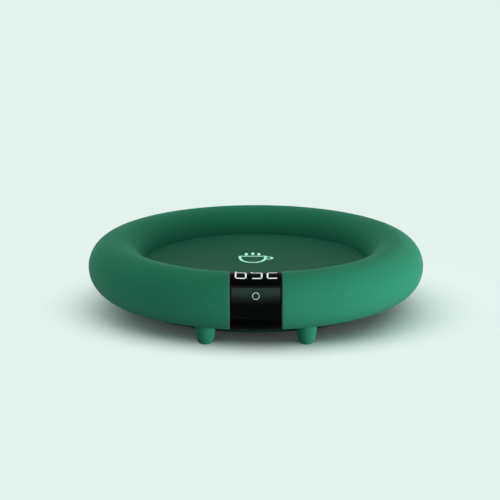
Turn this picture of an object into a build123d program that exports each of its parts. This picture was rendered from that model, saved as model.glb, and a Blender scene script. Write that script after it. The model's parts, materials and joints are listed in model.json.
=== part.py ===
from build123d import *
import math
import os

# Electric mug warmer: a round, soft-skinned ring around a recessed heating plate, with a curved
# black panel across its front (digit window above, press key below) and a power inlet at its back.
# Millimetres, +Z up, the front is -Y, the origin is on the table under the ring's centre.
# Angles on the ring's round section start at its outermost point and turn over the top.
# Bearings around the ring start at the front and turn towards +X.

# ---- ring and its soft sleeve ----
OUTER_DIAMETER = 124.0
TOTAL_HEIGHT = 26.0
TUBE_RADIUS = 10.0
SLEEVE_WALL = 1.6
SLEEVE_UNDER_ANGLE = -110.0
SLEEVE_WELL_ANGLE = 190.0
SLEEVE_TURN_ANGLE = -50.0

# ---- hard housings inside the sleeve, eight-sided in section ----
HOUSING_SIDES = 8
HOUSING_WALL = 1.8
LAP_HEIGHT = 1.5
UPPER_END_ANGLE = 205.0
LOWER_END_ANGLE = -135.0
RIB_THICKNESS = 1.2
RIB_DEPTH = 1.6
RIB_BEARINGS = (45.0, 80.0, 150.0, 210.0, 280.0, 315.0)
UPPER_RIB_ANGLES = (30.0, 150.0)
LOWER_RIB_ANGLES = (-120.0, -30.0)
LEDGE_THICKNESS = 1.8
SPIGOT_WALL = 2.0
LUG_THICKNESS = 1.4
LUG_WIDTH = 6.4
BOSS_RADIUS = 2.6
CABLE_NOTCH_WIDTH = 9.0

# ---- heating plate stack, from the glass down ----
PLATE_RISE = 1.0
GLASS_THICKNESS = 2.0
GLASS_EDGE_CHAMFER = 0.3
GASKET_THICKNESS = 0.8
SPREADER_MARGIN = 4.45
SPREADER_THICKNESS = 1.6
HEATER_MARGIN = 2.3
HEATER_THICKNESS = 0.3
PAD_THICKNESS = 2.4
CARRIER_WALL = 0.6
CARRIER_FLOOR = 0.8
CARRIER_TAB_WIDTH = 7.0
CARRIER_BEARINGS = (90.0, 210.0, 330.0)
SENSOR_RADIUS = 1.5
SENSOR_HEIGHT = 1.2
FUSE_RADIUS = 1.0
FUSE_LENGTH = 8.0
FUSE_OFFSET = 14.0
LEG_RADIUS = 0.3
LEG_SPACING = 1.4
FUSE_LEG_REACH = 2.4
HEATER_LEAD_INSET = 4.0

# ---- base, feet and main board ----
BASE_DEPTH = 12.2
BASE_MARGIN = 3.0
BASE_THICKNESS = 1.6
BASE_RIM_WIDTH = 1.5
BASE_RIM_HEIGHT = 0.9
BASE_EDGE_CHAMFER = 0.5
BASE_PAD_RADIUS = 3.6
BASE_PAD_HEIGHT = 1.2
BASE_SCREW_BEARINGS = (45.0, 135.0, 225.0, 315.0)
FOOT_RADIUS = 3.5
FOOT_EDGE_ROUND = 2.2
FOOT_NECK_RADIUS = 1.6
FOOT_BULB_RADIUS = 2.4
FOOT_BULB_HEIGHT = 1.2
FOOT_BEARINGS = {"front_right": 19.8, "rear_right": 120.0, "rear_left": 240.0, "front_left": 340.2}
MAIN_BOARD_MARGIN = 4.8
BOARD_THICKNESS = 1.0
CHIP_SIZE = 7.0
CHIP_HEIGHT = 0.9
CHIP_PLACE = (12.0, -8.0)
INDUCTOR_RADIUS = 4.0
INDUCTOR_HEIGHT = 2.1
INDUCTOR_FLANGE = 0.6
INDUCTOR_PLACE = (-12.0, -10.0)
TRANSISTOR_WIDTH = 6.0
TRANSISTOR_DEPTH = 4.6
TRANSISTOR_HEIGHT = 1.2
TRANSISTOR_INSET = 16.0
TRANSISTOR_NEAR = 4.0
TRANSISTOR_PITCH = 9.0
STANDOFF_HEIGHT = 0.8
STANDOFF_RADIUS = 2.6
STANDOFF_INSET = 6.0
STANDOFF_BEARINGS = (45.0, 135.0, 225.0, 315.0)

# ---- front panel ----
PANEL_WIDTH = 17.5
PANEL_WALL = 1.6
PANEL_SEAM = 0.25
KEY_PRESS_ANGLE = 15.0
KEY_TOP = 5.0
KEY_BOTTOM = -6.0
KEY_TRAVEL = 0.4
KEY_POST_RADIUS = 1.5
KEY_POST_LENGTH = 4.0
KEY_GUIDE_RADIUS = 1.0
KEY_GUIDE_INSET = 2.1
KEY_GUIDE_DROP = 4.6
KEY_GUIDE_REACH = 1.8
GUIDE_BAR_HALF = 1.7
GUIDE_BAR_THICKNESS = 1.2
BRACKET_WALL = 1.6
BRACKET_CHEEK = 1.2
BRACKET_END_ANGLE = 180.0
BRACKET_UNDER_ANGLE = -100.0
RAIL_WIDTH = 1.0
DIGIT_DEPTH = 7.8
DIGIT_HEIGHT = 2.2
DIGIT_COUNT = 3
DIGIT_MARGIN = 0.45
DIGIT_SPAN = 4.3
DIGIT_TALL = 6.8
DIGIT_BAR = 0.6
DIGIT_WEB = 0.25
DIGIT_FRAME = 0.5
WELL_DEPTH = 1.2
SMALL_BOARD_THICKNESS = 0.8
DISPLAY_BOARD_DEPTH = 9.0
SWITCH_SIZE = 3.6
SWITCH_HEIGHT = 2.4
SWITCH_BOARD_HEIGHT = 8.0
SWITCH_BOARD_MARGIN = 0.6
PLUNGER_RADIUS = 0.9
PLUNGER_REACH = 0.7
EAR_OUTSET = 2.05
EAR_WIDTH = 4.6
EAR_THICKNESS = 1.6
EAR_DROP = 3.0
EAR_BOSS_RADIUS = 2.2

# ---- power inlet ----
INLET_WIDTH = 14.4
INLET_HEIGHT = 8.2
INLET_DROP = 3.0
INLET_WALL = 0.8
INLET_DEPTH = 5.0
INLET_CORNER = 2.6
SOCKET_WIDTH = 9.0
SOCKET_HEIGHT = 3.2
SOCKET_LENGTH = 7.3
SOCKET_SKIN = 0.3
TONGUE_WIDTH = 6.7
TONGUE_THICKNESS = 0.7
TONGUE_LENGTH = 5.0
INLET_BOARD_EDGE = 1.7
INLET_BOARD_LENGTH = 9.0
INLET_SCREW_OUTSET = 1.3

# ---- leads ----
LEAD_RADIUS = 0.6
LEAD_BEND = 1.6
LEAD_SPACING = 2.4
TERMINAL_INSET = 5.0
RIBBON_WIDTH = 6.0
RIBBON_THICKNESS = 0.3
TERMINAL_LENGTH = 8.0
TERMINAL_DEPTH = 4.0
TERMINAL_HEIGHT = 1.8

# ---- screws ----
BASE_SCREW_RADIUS = 1.3
BASE_SCREW_HEAD_RADIUS = 2.3
BASE_SCREW_HEAD_HEIGHT = 1.4
BASE_SCREW_BITE = 4.0
SMALL_SCREW_RADIUS = 0.9
SMALL_SCREW_HEAD_RADIUS = 1.6
SMALL_SCREW_HEAD_HEIGHT = 0.8
SMALL_SCREW_BITE = 1.7

# ---- fits ----
SKIN_FIT = 0.05
SEAT_FIT = 0.1
LOOSE_FIT = 0.25
RUNNING_FIT = 0.08
SCREW_FIT = 0.15
THREAD_FIT = 0.04

# ---- worked-out radii on the ring's section ----
RING_RADIUS = OUTER_DIAMETER / 2 - TUBE_RADIUS
RING_HEIGHT = TOTAL_HEIGHT - TUBE_RADIUS
PANEL_INNER = TUBE_RADIUS - PANEL_WALL
SLEEVE_INNER = (TUBE_RADIUS - SLEEVE_WALL) * math.cos(math.pi / HOUSING_SIDES)
HOUSING_OUTER = SLEEVE_INNER - SKIN_FIT
HOUSING_INNER = HOUSING_OUTER - HOUSING_WALL
HOUSING_MIDDLE = HOUSING_OUTER - HOUSING_WALL / 2
BRACKET_OUTER = (PANEL_INNER - SKIN_FIT) * math.cos(math.pi / HOUSING_SIDES)
BRACKET_INNER = BRACKET_OUTER - BRACKET_WALL

# ---- worked-out heights ----
BASE_BOTTOM = RING_HEIGHT - BASE_DEPTH
BASE_FLOOR = BASE_BOTTOM + BASE_THICKNESS
LUG_BOTTOM = BASE_FLOOR + BASE_PAD_HEIGHT
LUG_TOP = LUG_BOTTOM + LUG_THICKNESS
BOARD_BOTTOM = BASE_FLOOR + STANDOFF_HEIGHT
BOARD_TOP = BOARD_BOTTOM + BOARD_THICKNESS
GLASS_TOP = RING_HEIGHT + PLATE_RISE
GLASS_BOTTOM = GLASS_TOP - GLASS_THICKNESS
LEDGE_TOP = GLASS_BOTTOM - GASKET_THICKNESS
LEDGE_BOTTOM = LEDGE_TOP - LEDGE_THICKNESS
SPREADER_BOTTOM = GLASS_BOTTOM - SPREADER_THICKNESS
HEATER_BOTTOM = SPREADER_BOTTOM - HEATER_THICKNESS
FUSE_CENTRE = HEATER_BOTTOM - FUSE_RADIUS
PAD_BOTTOM = HEATER_BOTTOM - PAD_THICKNESS
CARRIER_BOTTOM = PAD_BOTTOM - CARRIER_FLOOR

# ---- worked-out radii about the centre line ----
BASE_RADIUS = RING_RADIUS - BASE_MARGIN
GLASS_RADIUS = RING_RADIUS - TUBE_RADIUS - LOOSE_FIT
SPREADER_RADIUS = GLASS_RADIUS - SPREADER_MARGIN
HEATER_RADIUS = SPREADER_RADIUS - HEATER_MARGIN
CARRIER_INNER = SPREADER_RADIUS + LOOSE_FIT
CARRIER_OUTER = CARRIER_INNER + CARRIER_WALL
LEDGE_INNER = CARRIER_OUTER + LOOSE_FIT
LEDGE_OUTER = RING_RADIUS - HOUSING_INNER
SPIGOT_OUTER = BASE_RADIUS - BASE_RIM_WIDTH - LOOSE_FIT
SPIGOT_INNER = SPIGOT_OUTER - SPIGOT_WALL
BASE_SCREW_OFFSET = SPIGOT_INNER - BOSS_RADIUS - LOOSE_FIT
CARRIER_SCREW_OFFSET = LEDGE_INNER + BOSS_RADIUS
MAIN_BOARD_RADIUS = BASE_SCREW_OFFSET - BASE_PAD_RADIUS - MAIN_BOARD_MARGIN
STANDOFF_OFFSET = MAIN_BOARD_RADIUS - STANDOFF_INSET
TERMINAL_OFFSET = MAIN_BOARD_RADIUS - TERMINAL_INSET
HEATER_LEAD_OFFSET = MAIN_BOARD_RADIUS - HEATER_LEAD_INSET

# ---- worked-out foot, ear and inlet places ----
FOOT_SEAT = RING_HEIGHT - HOUSING_OUTER
FOOT_BULB_LOW = RING_HEIGHT - HOUSING_INNER
EAR_SPREAD = PANEL_WIDTH / 2 + EAR_OUTSET
EAR_BOTTOM = RING_HEIGHT - EAR_DROP
EAR_DEPTH = -math.sqrt(RING_RADIUS**2 - EAR_SPREAD**2)
INLET_CENTRE = RING_HEIGHT - INLET_DROP
INLET_FLOOR = OUTER_DIAMETER / 2 - INLET_DEPTH
INLET_SCREW_SPREAD = SOCKET_WIDTH / 2 + INLET_SCREW_OUTSET
INLET_BOARD_WIDTH = 2 * (INLET_SCREW_SPREAD + INLET_BOARD_EDGE)
INLET_BOARD_BOTTOM = INLET_CENTRE + SOCKET_HEIGHT / 2
INLET_BOARD_TOP = INLET_BOARD_BOTTOM + BOARD_THICKNESS
INLET_BOARD_FRONT = INLET_FLOOR - INLET_WALL - LOOSE_FIT - INLET_BOARD_LENGTH
INLET_BOARD_MIDDLE = INLET_BOARD_FRONT + INLET_BOARD_LENGTH / 2
SOCKET_BACK = INLET_FLOOR - SOCKET_LENGTH

# ---- front panel, measured outwards from the tube's centre line ----
PANEL_HALF = PANEL_WIDTH / 2
CHEEK_OUTER = PANEL_HALF - LOOSE_FIT
CHEEK_INNER = CHEEK_OUTER - BRACKET_CHEEK
DIGIT_WIDTH = 2 * (CHEEK_OUTER - DIGIT_MARGIN)
DIGIT_PITCH = (DIGIT_WIDTH - 2 * DIGIT_FRAME - DIGIT_SPAN) / (DIGIT_COUNT - 1)
SECTION_SAG = RING_RADIUS - math.sqrt(RING_RADIUS**2 - (DIGIT_WIDTH / 2) ** 2)
DIGIT_TOP = math.sqrt((PANEL_INNER - SEAT_FIT) ** 2 - (DIGIT_DEPTH / 2 + SECTION_SAG) ** 2)
DISPLAY_BOARD_TOP = DIGIT_TOP - DIGIT_HEIGHT
DISPLAY_BOARD_BOTTOM = DISPLAY_BOARD_TOP - SMALL_BOARD_THICKNESS
PLUNGER_TIP = PANEL_INNER - KEY_POST_LENGTH
SWITCH_FACE = PLUNGER_TIP - PLUNGER_REACH
SWITCH_BOARD_FACE = SWITCH_FACE - SWITCH_HEIGHT
SWITCH_BOARD_BACK = SWITCH_BOARD_FACE - SMALL_BOARD_THICKNESS
SWITCH_BOARD_HIGH = SWITCH_SIZE / 2 + SWITCH_BOARD_MARGIN
SWITCH_BOARD_LOW = SWITCH_BOARD_HIGH - SWITCH_BOARD_HEIGHT
KEY_GUIDE_SPREAD = CHEEK_INNER - KEY_GUIDE_INSET
KEY_GUIDE_END = PLUNGER_TIP - KEY_GUIDE_REACH
KEY_GUIDE_TOP = math.sqrt(PANEL_INNER**2 - (KEY_GUIDE_DROP - KEY_GUIDE_RADIUS) ** 2) + SEAT_FIT

PRESS_TURN = math.radians(KEY_PRESS_ANGLE)
PANEL_CENTRE = (0, -RING_RADIUS, RING_HEIGHT)
PRESS_PLANE = Plane(
    origin=PANEL_CENTRE,
    x_dir=(1, 0, 0),
    z_dir=(0, -math.cos(PRESS_TURN), math.sin(PRESS_TURN)),
)


# ---------------------------------------------------------------- shared shapes
def on_section(sketch):
    """Stand a sketch drawn about the tube's centre in the ring's section."""
    return Plane.XZ * Pos(RING_RADIUS, RING_HEIGHT) * sketch


def band(inner, outer, start, end):
    """A skin of the ring: the arc band from one section angle to another, turned about Z."""
    outer_arc = CenterArc((0, 0), outer, start, end - start)
    inner_arc = CenterArc((0, 0), inner, start, end - start)
    first_side = Line(outer_arc @ 0, inner_arc @ 0)
    last_side = Line(outer_arc @ 1, inner_arc @ 1)
    face = make_face([outer_arc, inner_arc, first_side, last_side])
    return revolve(on_section(face), axis=Axis.Z)


def tube(radius):
    """The solid ring of one section radius."""
    return revolve(on_section(Circle(radius)), axis=Axis.Z)


def flats(half_width):
    """The eight-sided section, flat at its top, bottom and sides."""
    return RegularPolygon(half_width, HOUSING_SIDES, major_radius=False, rotation=180 / HOUSING_SIDES)


def wedge(start, end):
    """The part of the section plane between two section angles."""
    steps = math.ceil((end - start) / 45)
    turns = [math.radians(start + (end - start) * step / steps) for step in range(steps + 1)]
    rim = [(TOTAL_HEIGHT * math.cos(turn), TOTAL_HEIGHT * math.sin(turn)) for turn in turns]
    return Polygon((0, 0), *rim, align=None)


def channel(inner, outer, start, end):
    """An eight-sided channel of the ring between two half widths and two section angles."""
    return revolve(on_section((flats(outer) - flats(inner)) & wedge(start, end)), axis=Axis.Z)


def core(half_width):
    """The solid eight-sided ring."""
    return revolve(on_section(flats(half_width)), axis=Axis.Z)


def disc(radius, low, high):
    """A round slab between two heights."""
    return Pos(0, 0, (low + high) / 2) * Cylinder(radius, high - low)


def hoop(inner, outer, low, high):
    """A flat ring of rectangular section between two heights."""
    return disc(outer, low, high) - disc(inner, low, high)


def block(width, y_low, y_high, z_low, z_high, x=0.0):
    """A block centred on x, between two depths and two heights."""
    centre = Pos(x, (y_low + y_high) / 2, (z_low + z_high) / 2)
    return centre * Box(width, y_high - y_low, z_high - z_low)


def around(radius, bearing):
    """A frame on a circle about Z, its own -Y pointing outwards."""
    turn = math.radians(bearing)
    return Pos(radius * math.sin(turn), -radius * math.cos(turn), 0) * Rot(0, 0, bearing)


def front_gap(half_width):
    """The gap through the front of the ring that the panel fills."""
    return block(2 * half_width, -OUTER_DIAMETER, -RING_RADIUS / 2, 0, 2 * TOTAL_HEIGHT)


def press_block(width, low, high, start, end, x=0.0):
    """A block along the key's line of travel: low to high across it, start to end outwards."""
    return PRESS_PLANE * Pos(x, (low + high) / 2, (start + end) / 2) * Box(width, high - low, end - start)


def press_rod(radius, start, end, x=0.0, across=0.0):
    """A round rod along the key's line of travel."""
    return PRESS_PLANE * Pos(x, across, (start + end) / 2) * Cylinder(radius, end - start)


def screw(radius, head_radius, head_height, length):
    """A pan-head screw pointing up, its head's underside at zero."""
    head = Pos(0, 0, -head_height / 2) * Cylinder(head_radius, head_height)
    head = chamfer(head.edges().group_by(Axis.Z)[0], head_height / 3)
    return head + Pos(0, 0, length / 2) * Cylinder(radius, length)


def pilot_up(seat):
    """The blind hole that a small screw bites into, upwards from its seat."""
    return disc(SMALL_SCREW_RADIUS + THREAD_FIT, seat, seat + SMALL_SCREW_BITE + SEAT_FIT)


def pilot_down(seat):
    """The blind hole that a small screw bites into, downwards from its seat."""
    return disc(SMALL_SCREW_RADIUS + THREAD_FIT, seat - SMALL_SCREW_BITE - SEAT_FIT, seat)


def cross_slot(size, depth):
    """A cross recess opening downwards, its mouth at zero."""
    arm = Box(size, size / 4, depth)
    return Pos(0, 0, depth / 2) * (arm + Rot(0, 0, 90) * arm)


def lead(points, bend, section):
    """A wire or ribbon along straight runs joined by tangent arcs."""
    path = FilletPolyline(*points, radius=bend)
    start = Plane(origin=path @ 0, x_dir=(1, 0, 0), z_dir=path % 0)
    return sweep(start * section, path=path)


# ---------------------------------------------------------------- sleeve, housings, base
def inlet_blank(grow, near, far):
    """The inlet's rounded outline, grown all round, between two depths behind the centre."""
    outline = RectangleRounded(INLET_WIDTH + 2 * grow, INLET_HEIGHT + 2 * grow, INLET_CORNER + grow)
    plane = Plane(origin=(0, near, INLET_CENTRE), x_dir=(1, 0, 0), z_dir=(0, 1, 0))
    return extrude(plane * outline, amount=far - near)


def sleeve_band(start, end):
    """A band of the sleeve: round outside, eight-sided inside."""
    section = (Circle(TUBE_RADIUS) - flats(SLEEVE_INNER)) & wedge(start, end)
    return revolve(on_section(section), axis=Axis.Z)


def ring_sleeve():
    """Silicone skin over the ring, open where it tucks into the well and over the base."""
    under = sleeve_band(SLEEVE_UNDER_ANGLE, SLEEVE_TURN_ANGLE)
    over = sleeve_band(SLEEVE_TURN_ANGLE, SLEEVE_WELL_ANGLE)
    for bearing in FOOT_BEARINGS.values():
        under -= around(RING_RADIUS, bearing) * disc(FOOT_RADIUS + SEAT_FIT, 0, RING_HEIGHT)
    cuts = [front_gap(PANEL_HALF + SEAT_FIT), inlet_blank(SEAT_FIT, RING_RADIUS, OUTER_DIAMETER)]
    return (under - cuts) + (over - cuts)


def ribs(angles):
    """Thin radial ribs inside the tube."""
    ring = channel(HOUSING_INNER - RIB_DEPTH, HOUSING_MIDDLE, *angles)
    found = []
    for bearing in RIB_BEARINGS:
        slab = block(RIB_THICKNESS, -TUBE_RADIUS, TUBE_RADIUS, 0, TOTAL_HEIGHT)
        found.append(ring & (around(RING_RADIUS, bearing) * slab))
    return found


def inlet_board_posts():
    """Posts under the tube's roof that the inlet board hangs from."""
    top = RING_HEIGHT + HOUSING_MIDDLE
    posts = []
    for side in (-1, 1):
        place = Pos(side * INLET_SCREW_SPREAD, INLET_BOARD_MIDDLE, 0)
        posts.append(place * disc(SMALL_SCREW_HEAD_RADIUS, INLET_BOARD_TOP, top))
    return posts


def upper_housing():
    """Upper half of the hard ring, with the ledge that carries the glass and the screw bosses."""
    shell = channel(HOUSING_INNER, HOUSING_OUTER, 0, UPPER_END_ANGLE)
    tongue_outer = RING_RADIUS + HOUSING_MIDDLE - SEAT_FIT
    shell += hoop(RING_RADIUS + HOUSING_INNER, tongue_outer, RING_HEIGHT - LAP_HEIGHT, RING_HEIGHT)
    for rib in ribs(UPPER_RIB_ANGLES):
        shell += rib
    shell -= front_gap(PANEL_HALF - SEAT_FIT)
    for post in inlet_board_posts():
        shell += post
    shell += hoop(LEDGE_INNER, LEDGE_OUTER, LEDGE_BOTTOM, LEDGE_TOP)
    for bearing in BASE_SCREW_BEARINGS:
        boss = disc(BOSS_RADIUS, LUG_TOP, LEDGE_BOTTOM + LEDGE_THICKNESS / 2)
        pilot = disc(BASE_SCREW_RADIUS + THREAD_FIT, LUG_TOP, LUG_TOP + BASE_SCREW_BITE + SEAT_FIT)
        shell += around(BASE_SCREW_OFFSET, bearing) * boss
        shell -= around(BASE_SCREW_OFFSET, bearing) * pilot
    for bearing in CARRIER_BEARINGS:
        boss = disc(BOSS_RADIUS, PAD_BOTTOM, LEDGE_BOTTOM + LEDGE_THICKNESS / 2)
        shell += around(CARRIER_SCREW_OFFSET, bearing) * boss
        shell -= around(CARRIER_SCREW_OFFSET, bearing) * pilot_up(PAD_BOTTOM)
    for side in (-1, 1):
        shell -= Pos(side * INLET_SCREW_SPREAD, INLET_BOARD_MIDDLE, 0) * pilot_up(INLET_BOARD_TOP)
    return shell - inlet_blank(SEAT_FIT, INLET_FLOOR - INLET_WALL, OUTER_DIAMETER)


def lower_housing():
    """Lower half of the hard ring, with foot sockets, lugs and the spigot for the base."""
    shell = channel(HOUSING_INNER, HOUSING_OUTER, LOWER_END_ANGLE, 0)
    lap_bottom = RING_HEIGHT - LAP_HEIGHT - SEAT_FIT
    for rib in ribs(LOWER_RIB_ANGLES):
        shell += rib
    lap_inner = RING_RADIUS + HOUSING_INNER - RIB_DEPTH
    shell -= hoop(lap_inner, RING_RADIUS + HOUSING_MIDDLE, lap_bottom, RING_HEIGHT)
    for side in (-1, 1):
        post = disc(EAR_BOSS_RADIUS, RING_HEIGHT - HOUSING_MIDDLE, EAR_BOTTOM)
        shell += Pos(side * EAR_SPREAD, EAR_DEPTH, 0) * post
    shell -= front_gap(PANEL_HALF - SEAT_FIT)
    spigot_top = RING_HEIGHT + HOUSING_MIDDLE * math.sin(math.radians(LOWER_END_ANGLE))
    shell += hoop(SPIGOT_INNER, SPIGOT_OUTER, BASE_FLOOR + SEAT_FIT, spigot_top)
    for bearing in BASE_SCREW_BEARINGS:
        reach = block(LUG_WIDTH, -SPIGOT_WALL - BOSS_RADIUS, 0, LUG_BOTTOM, LUG_TOP)
        lug = disc(LUG_WIDTH / 2, LUG_BOTTOM, LUG_TOP) + reach
        hole = disc(BASE_SCREW_RADIUS + SCREW_FIT, LUG_BOTTOM, LUG_TOP)
        shell += around(BASE_SCREW_OFFSET, bearing) * (lug - hole)
    for bearing in FOOT_BEARINGS.values():
        shell -= around(RING_RADIUS, bearing) * disc(FOOT_NECK_RADIUS + SEAT_FIT, 0, FOOT_BULB_LOW)
        shell -= around(RING_RADIUS, bearing) * disc(FOOT_BULB_RADIUS + SEAT_FIT, FOOT_BULB_LOW, RING_HEIGHT)
    for side in (-1, 1):
        shell -= Pos(side * EAR_SPREAD, EAR_DEPTH, 0) * pilot_down(EAR_BOTTOM)
    notch_top = spigot_top + HOUSING_WALL
    near = SPIGOT_INNER - SPIGOT_WALL
    shell -= block(CABLE_NOTCH_WIDTH, -RING_RADIUS, -near, LUG_TOP, notch_top)
    shell -= block(CABLE_NOTCH_WIDTH, near, RING_RADIUS, LUG_TOP, notch_top)
    shell -= socket_blank(LOOSE_FIT, SOCKET_BACK, INLET_FLOOR)
    return shell - inlet_blank(SEAT_FIT, INLET_FLOOR - INLET_WALL, OUTER_DIAMETER)


def base_cover():
    """Round base that closes the ring from below and carries the main board."""
    plate = disc(BASE_RADIUS, BASE_BOTTOM, BASE_FLOOR)
    plate = chamfer(plate.edges().group_by(Axis.Z)[0], BASE_EDGE_CHAMFER)
    plate += hoop(BASE_RADIUS - BASE_RIM_WIDTH, BASE_RADIUS, BASE_FLOOR, BASE_FLOOR + BASE_RIM_HEIGHT)
    for bearing in BASE_SCREW_BEARINGS:
        hole = disc(BASE_SCREW_RADIUS + SCREW_FIT, BASE_BOTTOM, LUG_BOTTOM)
        recess = disc(BASE_SCREW_HEAD_RADIUS + SCREW_FIT, BASE_BOTTOM, BASE_FLOOR)
        pad = around(BASE_SCREW_OFFSET, bearing) * disc(BASE_PAD_RADIUS, BASE_FLOOR, LUG_BOTTOM)
        plate += pad & disc(SPIGOT_INNER - SEAT_FIT, BASE_FLOOR, LUG_BOTTOM)
        plate -= around(BASE_SCREW_OFFSET, bearing) * (hole + recess)
    for bearing in STANDOFF_BEARINGS:
        post = disc(STANDOFF_RADIUS, BASE_FLOOR, BOARD_BOTTOM)
        plate += around(STANDOFF_OFFSET, bearing) * post
        plate -= around(STANDOFF_OFFSET, bearing) * pilot_down(BOARD_BOTTOM)
    for bearing in FOOT_BEARINGS.values():
        plate -= around(RING_RADIUS, bearing) * disc(FOOT_RADIUS + LOOSE_FIT, 0, LUG_BOTTOM)
    return plate


def base_screws():
    """Four screws that clamp the base and both housings together."""
    length = LUG_TOP + BASE_SCREW_BITE - BASE_FLOOR
    one = screw(BASE_SCREW_RADIUS, BASE_SCREW_HEAD_RADIUS, BASE_SCREW_HEAD_HEIGHT, length)
    slot = cross_slot(BASE_SCREW_HEAD_RADIUS * 1.2, BASE_SCREW_HEAD_HEIGHT / 2)
    one -= Pos(0, 0, -BASE_SCREW_HEAD_HEIGHT) * slot
    return [around(BASE_SCREW_OFFSET, b) * Pos(0, 0, BASE_FLOOR) * one for b in BASE_SCREW_BEARINGS]


def foot(bearing):
    """Round-ended stub foot with a neck and bulb that snap into the lower housing."""
    stub = disc(FOOT_RADIUS, 0, FOOT_SEAT)
    stub = fillet(stub.edges().group_by(Axis.Z)[0], FOOT_EDGE_ROUND)
    neck = disc(FOOT_NECK_RADIUS, FOOT_SEAT, FOOT_BULB_LOW)
    bulb = disc(FOOT_BULB_RADIUS, FOOT_BULB_LOW, FOOT_BULB_LOW + FOOT_BULB_HEIGHT)
    bulb = chamfer(bulb.edges().group_by(Axis.Z)[-1], FOOT_BULB_HEIGHT / 2)
    return around(RING_RADIUS, bearing) * (stub + neck + bulb)


# ---------------------------------------------------------------- heating plate stack
def glass_plate():
    """Toughened glass disc that the mug stands on."""
    glass = disc(GLASS_RADIUS, GLASS_BOTTOM, GLASS_TOP)
    return chamfer(glass.edges().group_by(Axis.Z)[-1], GLASS_EDGE_CHAMFER)


def plate_gasket():
    """Flat silicone ring between the glass and the housing's ledge."""
    return hoop(LEDGE_INNER + SEAT_FIT, GLASS_RADIUS - SEAT_FIT, LEDGE_TOP, GLASS_BOTTOM)


def heat_spreader():
    """Aluminium disc that spreads the heat under the glass."""
    plate = disc(SPREADER_RADIUS, SPREADER_BOTTOM, GLASS_BOTTOM)
    return chamfer(plate.edges().group_by(Axis.Z)[0], SPREADER_THICKNESS / 4)


def heater_film():
    """Thin film heater with a tail for its leads."""
    film = disc(HEATER_RADIUS, HEATER_BOTTOM, SPREADER_BOTTOM)
    return film - around(HEATER_RADIUS, 0) * disc(HEATER_MARGIN, HEATER_BOTTOM, SPREADER_BOTTOM)


def insulation_pad():
    """Felt pad with pockets for the sensor, the fuse and the heater's leads."""
    pad = disc(SPREADER_RADIUS, PAD_BOTTOM, HEATER_BOTTOM)
    pad -= disc(SENSOR_RADIUS + LOOSE_FIT, PAD_BOTTOM, HEATER_BOTTOM)
    fuse_width = FUSE_LENGTH + 2 * FUSE_LEG_REACH + 4 * LEG_RADIUS + 2 * LOOSE_FIT
    y_half = FUSE_RADIUS + LOOSE_FIT
    pad -= block(fuse_width, FUSE_OFFSET - y_half, FUSE_OFFSET + y_half, PAD_BOTTOM, HEATER_BOTTOM)
    return pad - heater_lead_slot(PAD_BOTTOM, HEATER_BOTTOM)


def heater_lead_slot(low, high):
    """The slot that the heater's two leads pass down through."""
    width = 2 * LEAD_RADIUS + 2 * LOOSE_FIT
    half = LEAD_SPACING / 2 + LEAD_RADIUS + LOOSE_FIT
    return block(width, -half, half, low, high, x=-HEATER_LEAD_OFFSET)


def heater_carrier():
    """Pressed steel dish that holds the pad, the film and the spreader against the glass."""
    dish = disc(CARRIER_OUTER, CARRIER_BOTTOM, PAD_BOTTOM)
    dish += hoop(CARRIER_INNER, CARRIER_OUTER, PAD_BOTTOM, LEDGE_TOP)
    dish = chamfer(dish.edges().group_by(Axis.Z)[0], CARRIER_WALL * 0.8)
    for bearing in CARRIER_BEARINGS:
        tab = disc(CARRIER_TAB_WIDTH / 2, CARRIER_BOTTOM, PAD_BOTTOM)
        tab += block(CARRIER_TAB_WIDTH, 0, BOSS_RADIUS + 2 * CARRIER_FLOOR, CARRIER_BOTTOM, PAD_BOTTOM)
        hole = disc(SMALL_SCREW_RADIUS + SCREW_FIT, CARRIER_BOTTOM, PAD_BOTTOM)
        dish += around(CARRIER_SCREW_OFFSET, bearing) * tab
        dish -= around(CARRIER_SCREW_OFFSET, bearing) * hole
    dish -= disc(LEG_SPACING / 2 + LEG_RADIUS + LOOSE_FIT, CARRIER_BOTTOM, PAD_BOTTOM)
    for side in (-1, 1):
        leg_hole = disc(LEG_RADIUS + LOOSE_FIT, CARRIER_BOTTOM, PAD_BOTTOM)
        dish -= Pos(side * (FUSE_LENGTH / 2 + FUSE_LEG_REACH), FUSE_OFFSET, 0) * leg_hole
    return dish - heater_lead_slot(CARRIER_BOTTOM, PAD_BOTTOM)


def carrier_screws():
    """Three screws that hold the carrier up to the ledge's bosses."""
    length = CARRIER_FLOOR + SMALL_SCREW_BITE
    one = screw(SMALL_SCREW_RADIUS, SMALL_SCREW_HEAD_RADIUS, SMALL_SCREW_HEAD_HEIGHT, length)
    return [around(CARRIER_SCREW_OFFSET, b) * Pos(0, 0, CARRIER_BOTTOM) * one for b in CARRIER_BEARINGS]


def temperature_sensor():
    """Bead sensor pressed under the heater, its two legs running down to the board."""
    bead = disc(SENSOR_RADIUS, HEATER_BOTTOM - SENSOR_HEIGHT, HEATER_BOTTOM)
    bead = chamfer(bead.edges().group_by(Axis.Z)[0], SENSOR_HEIGHT / 3)
    for side in (-1, 1):
        leg = disc(LEG_RADIUS, BOARD_TOP, HEATER_BOTTOM - SENSOR_HEIGHT / 2)
        bead += Pos(side * LEG_SPACING / 2, 0, 0) * leg
    return bead


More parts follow.
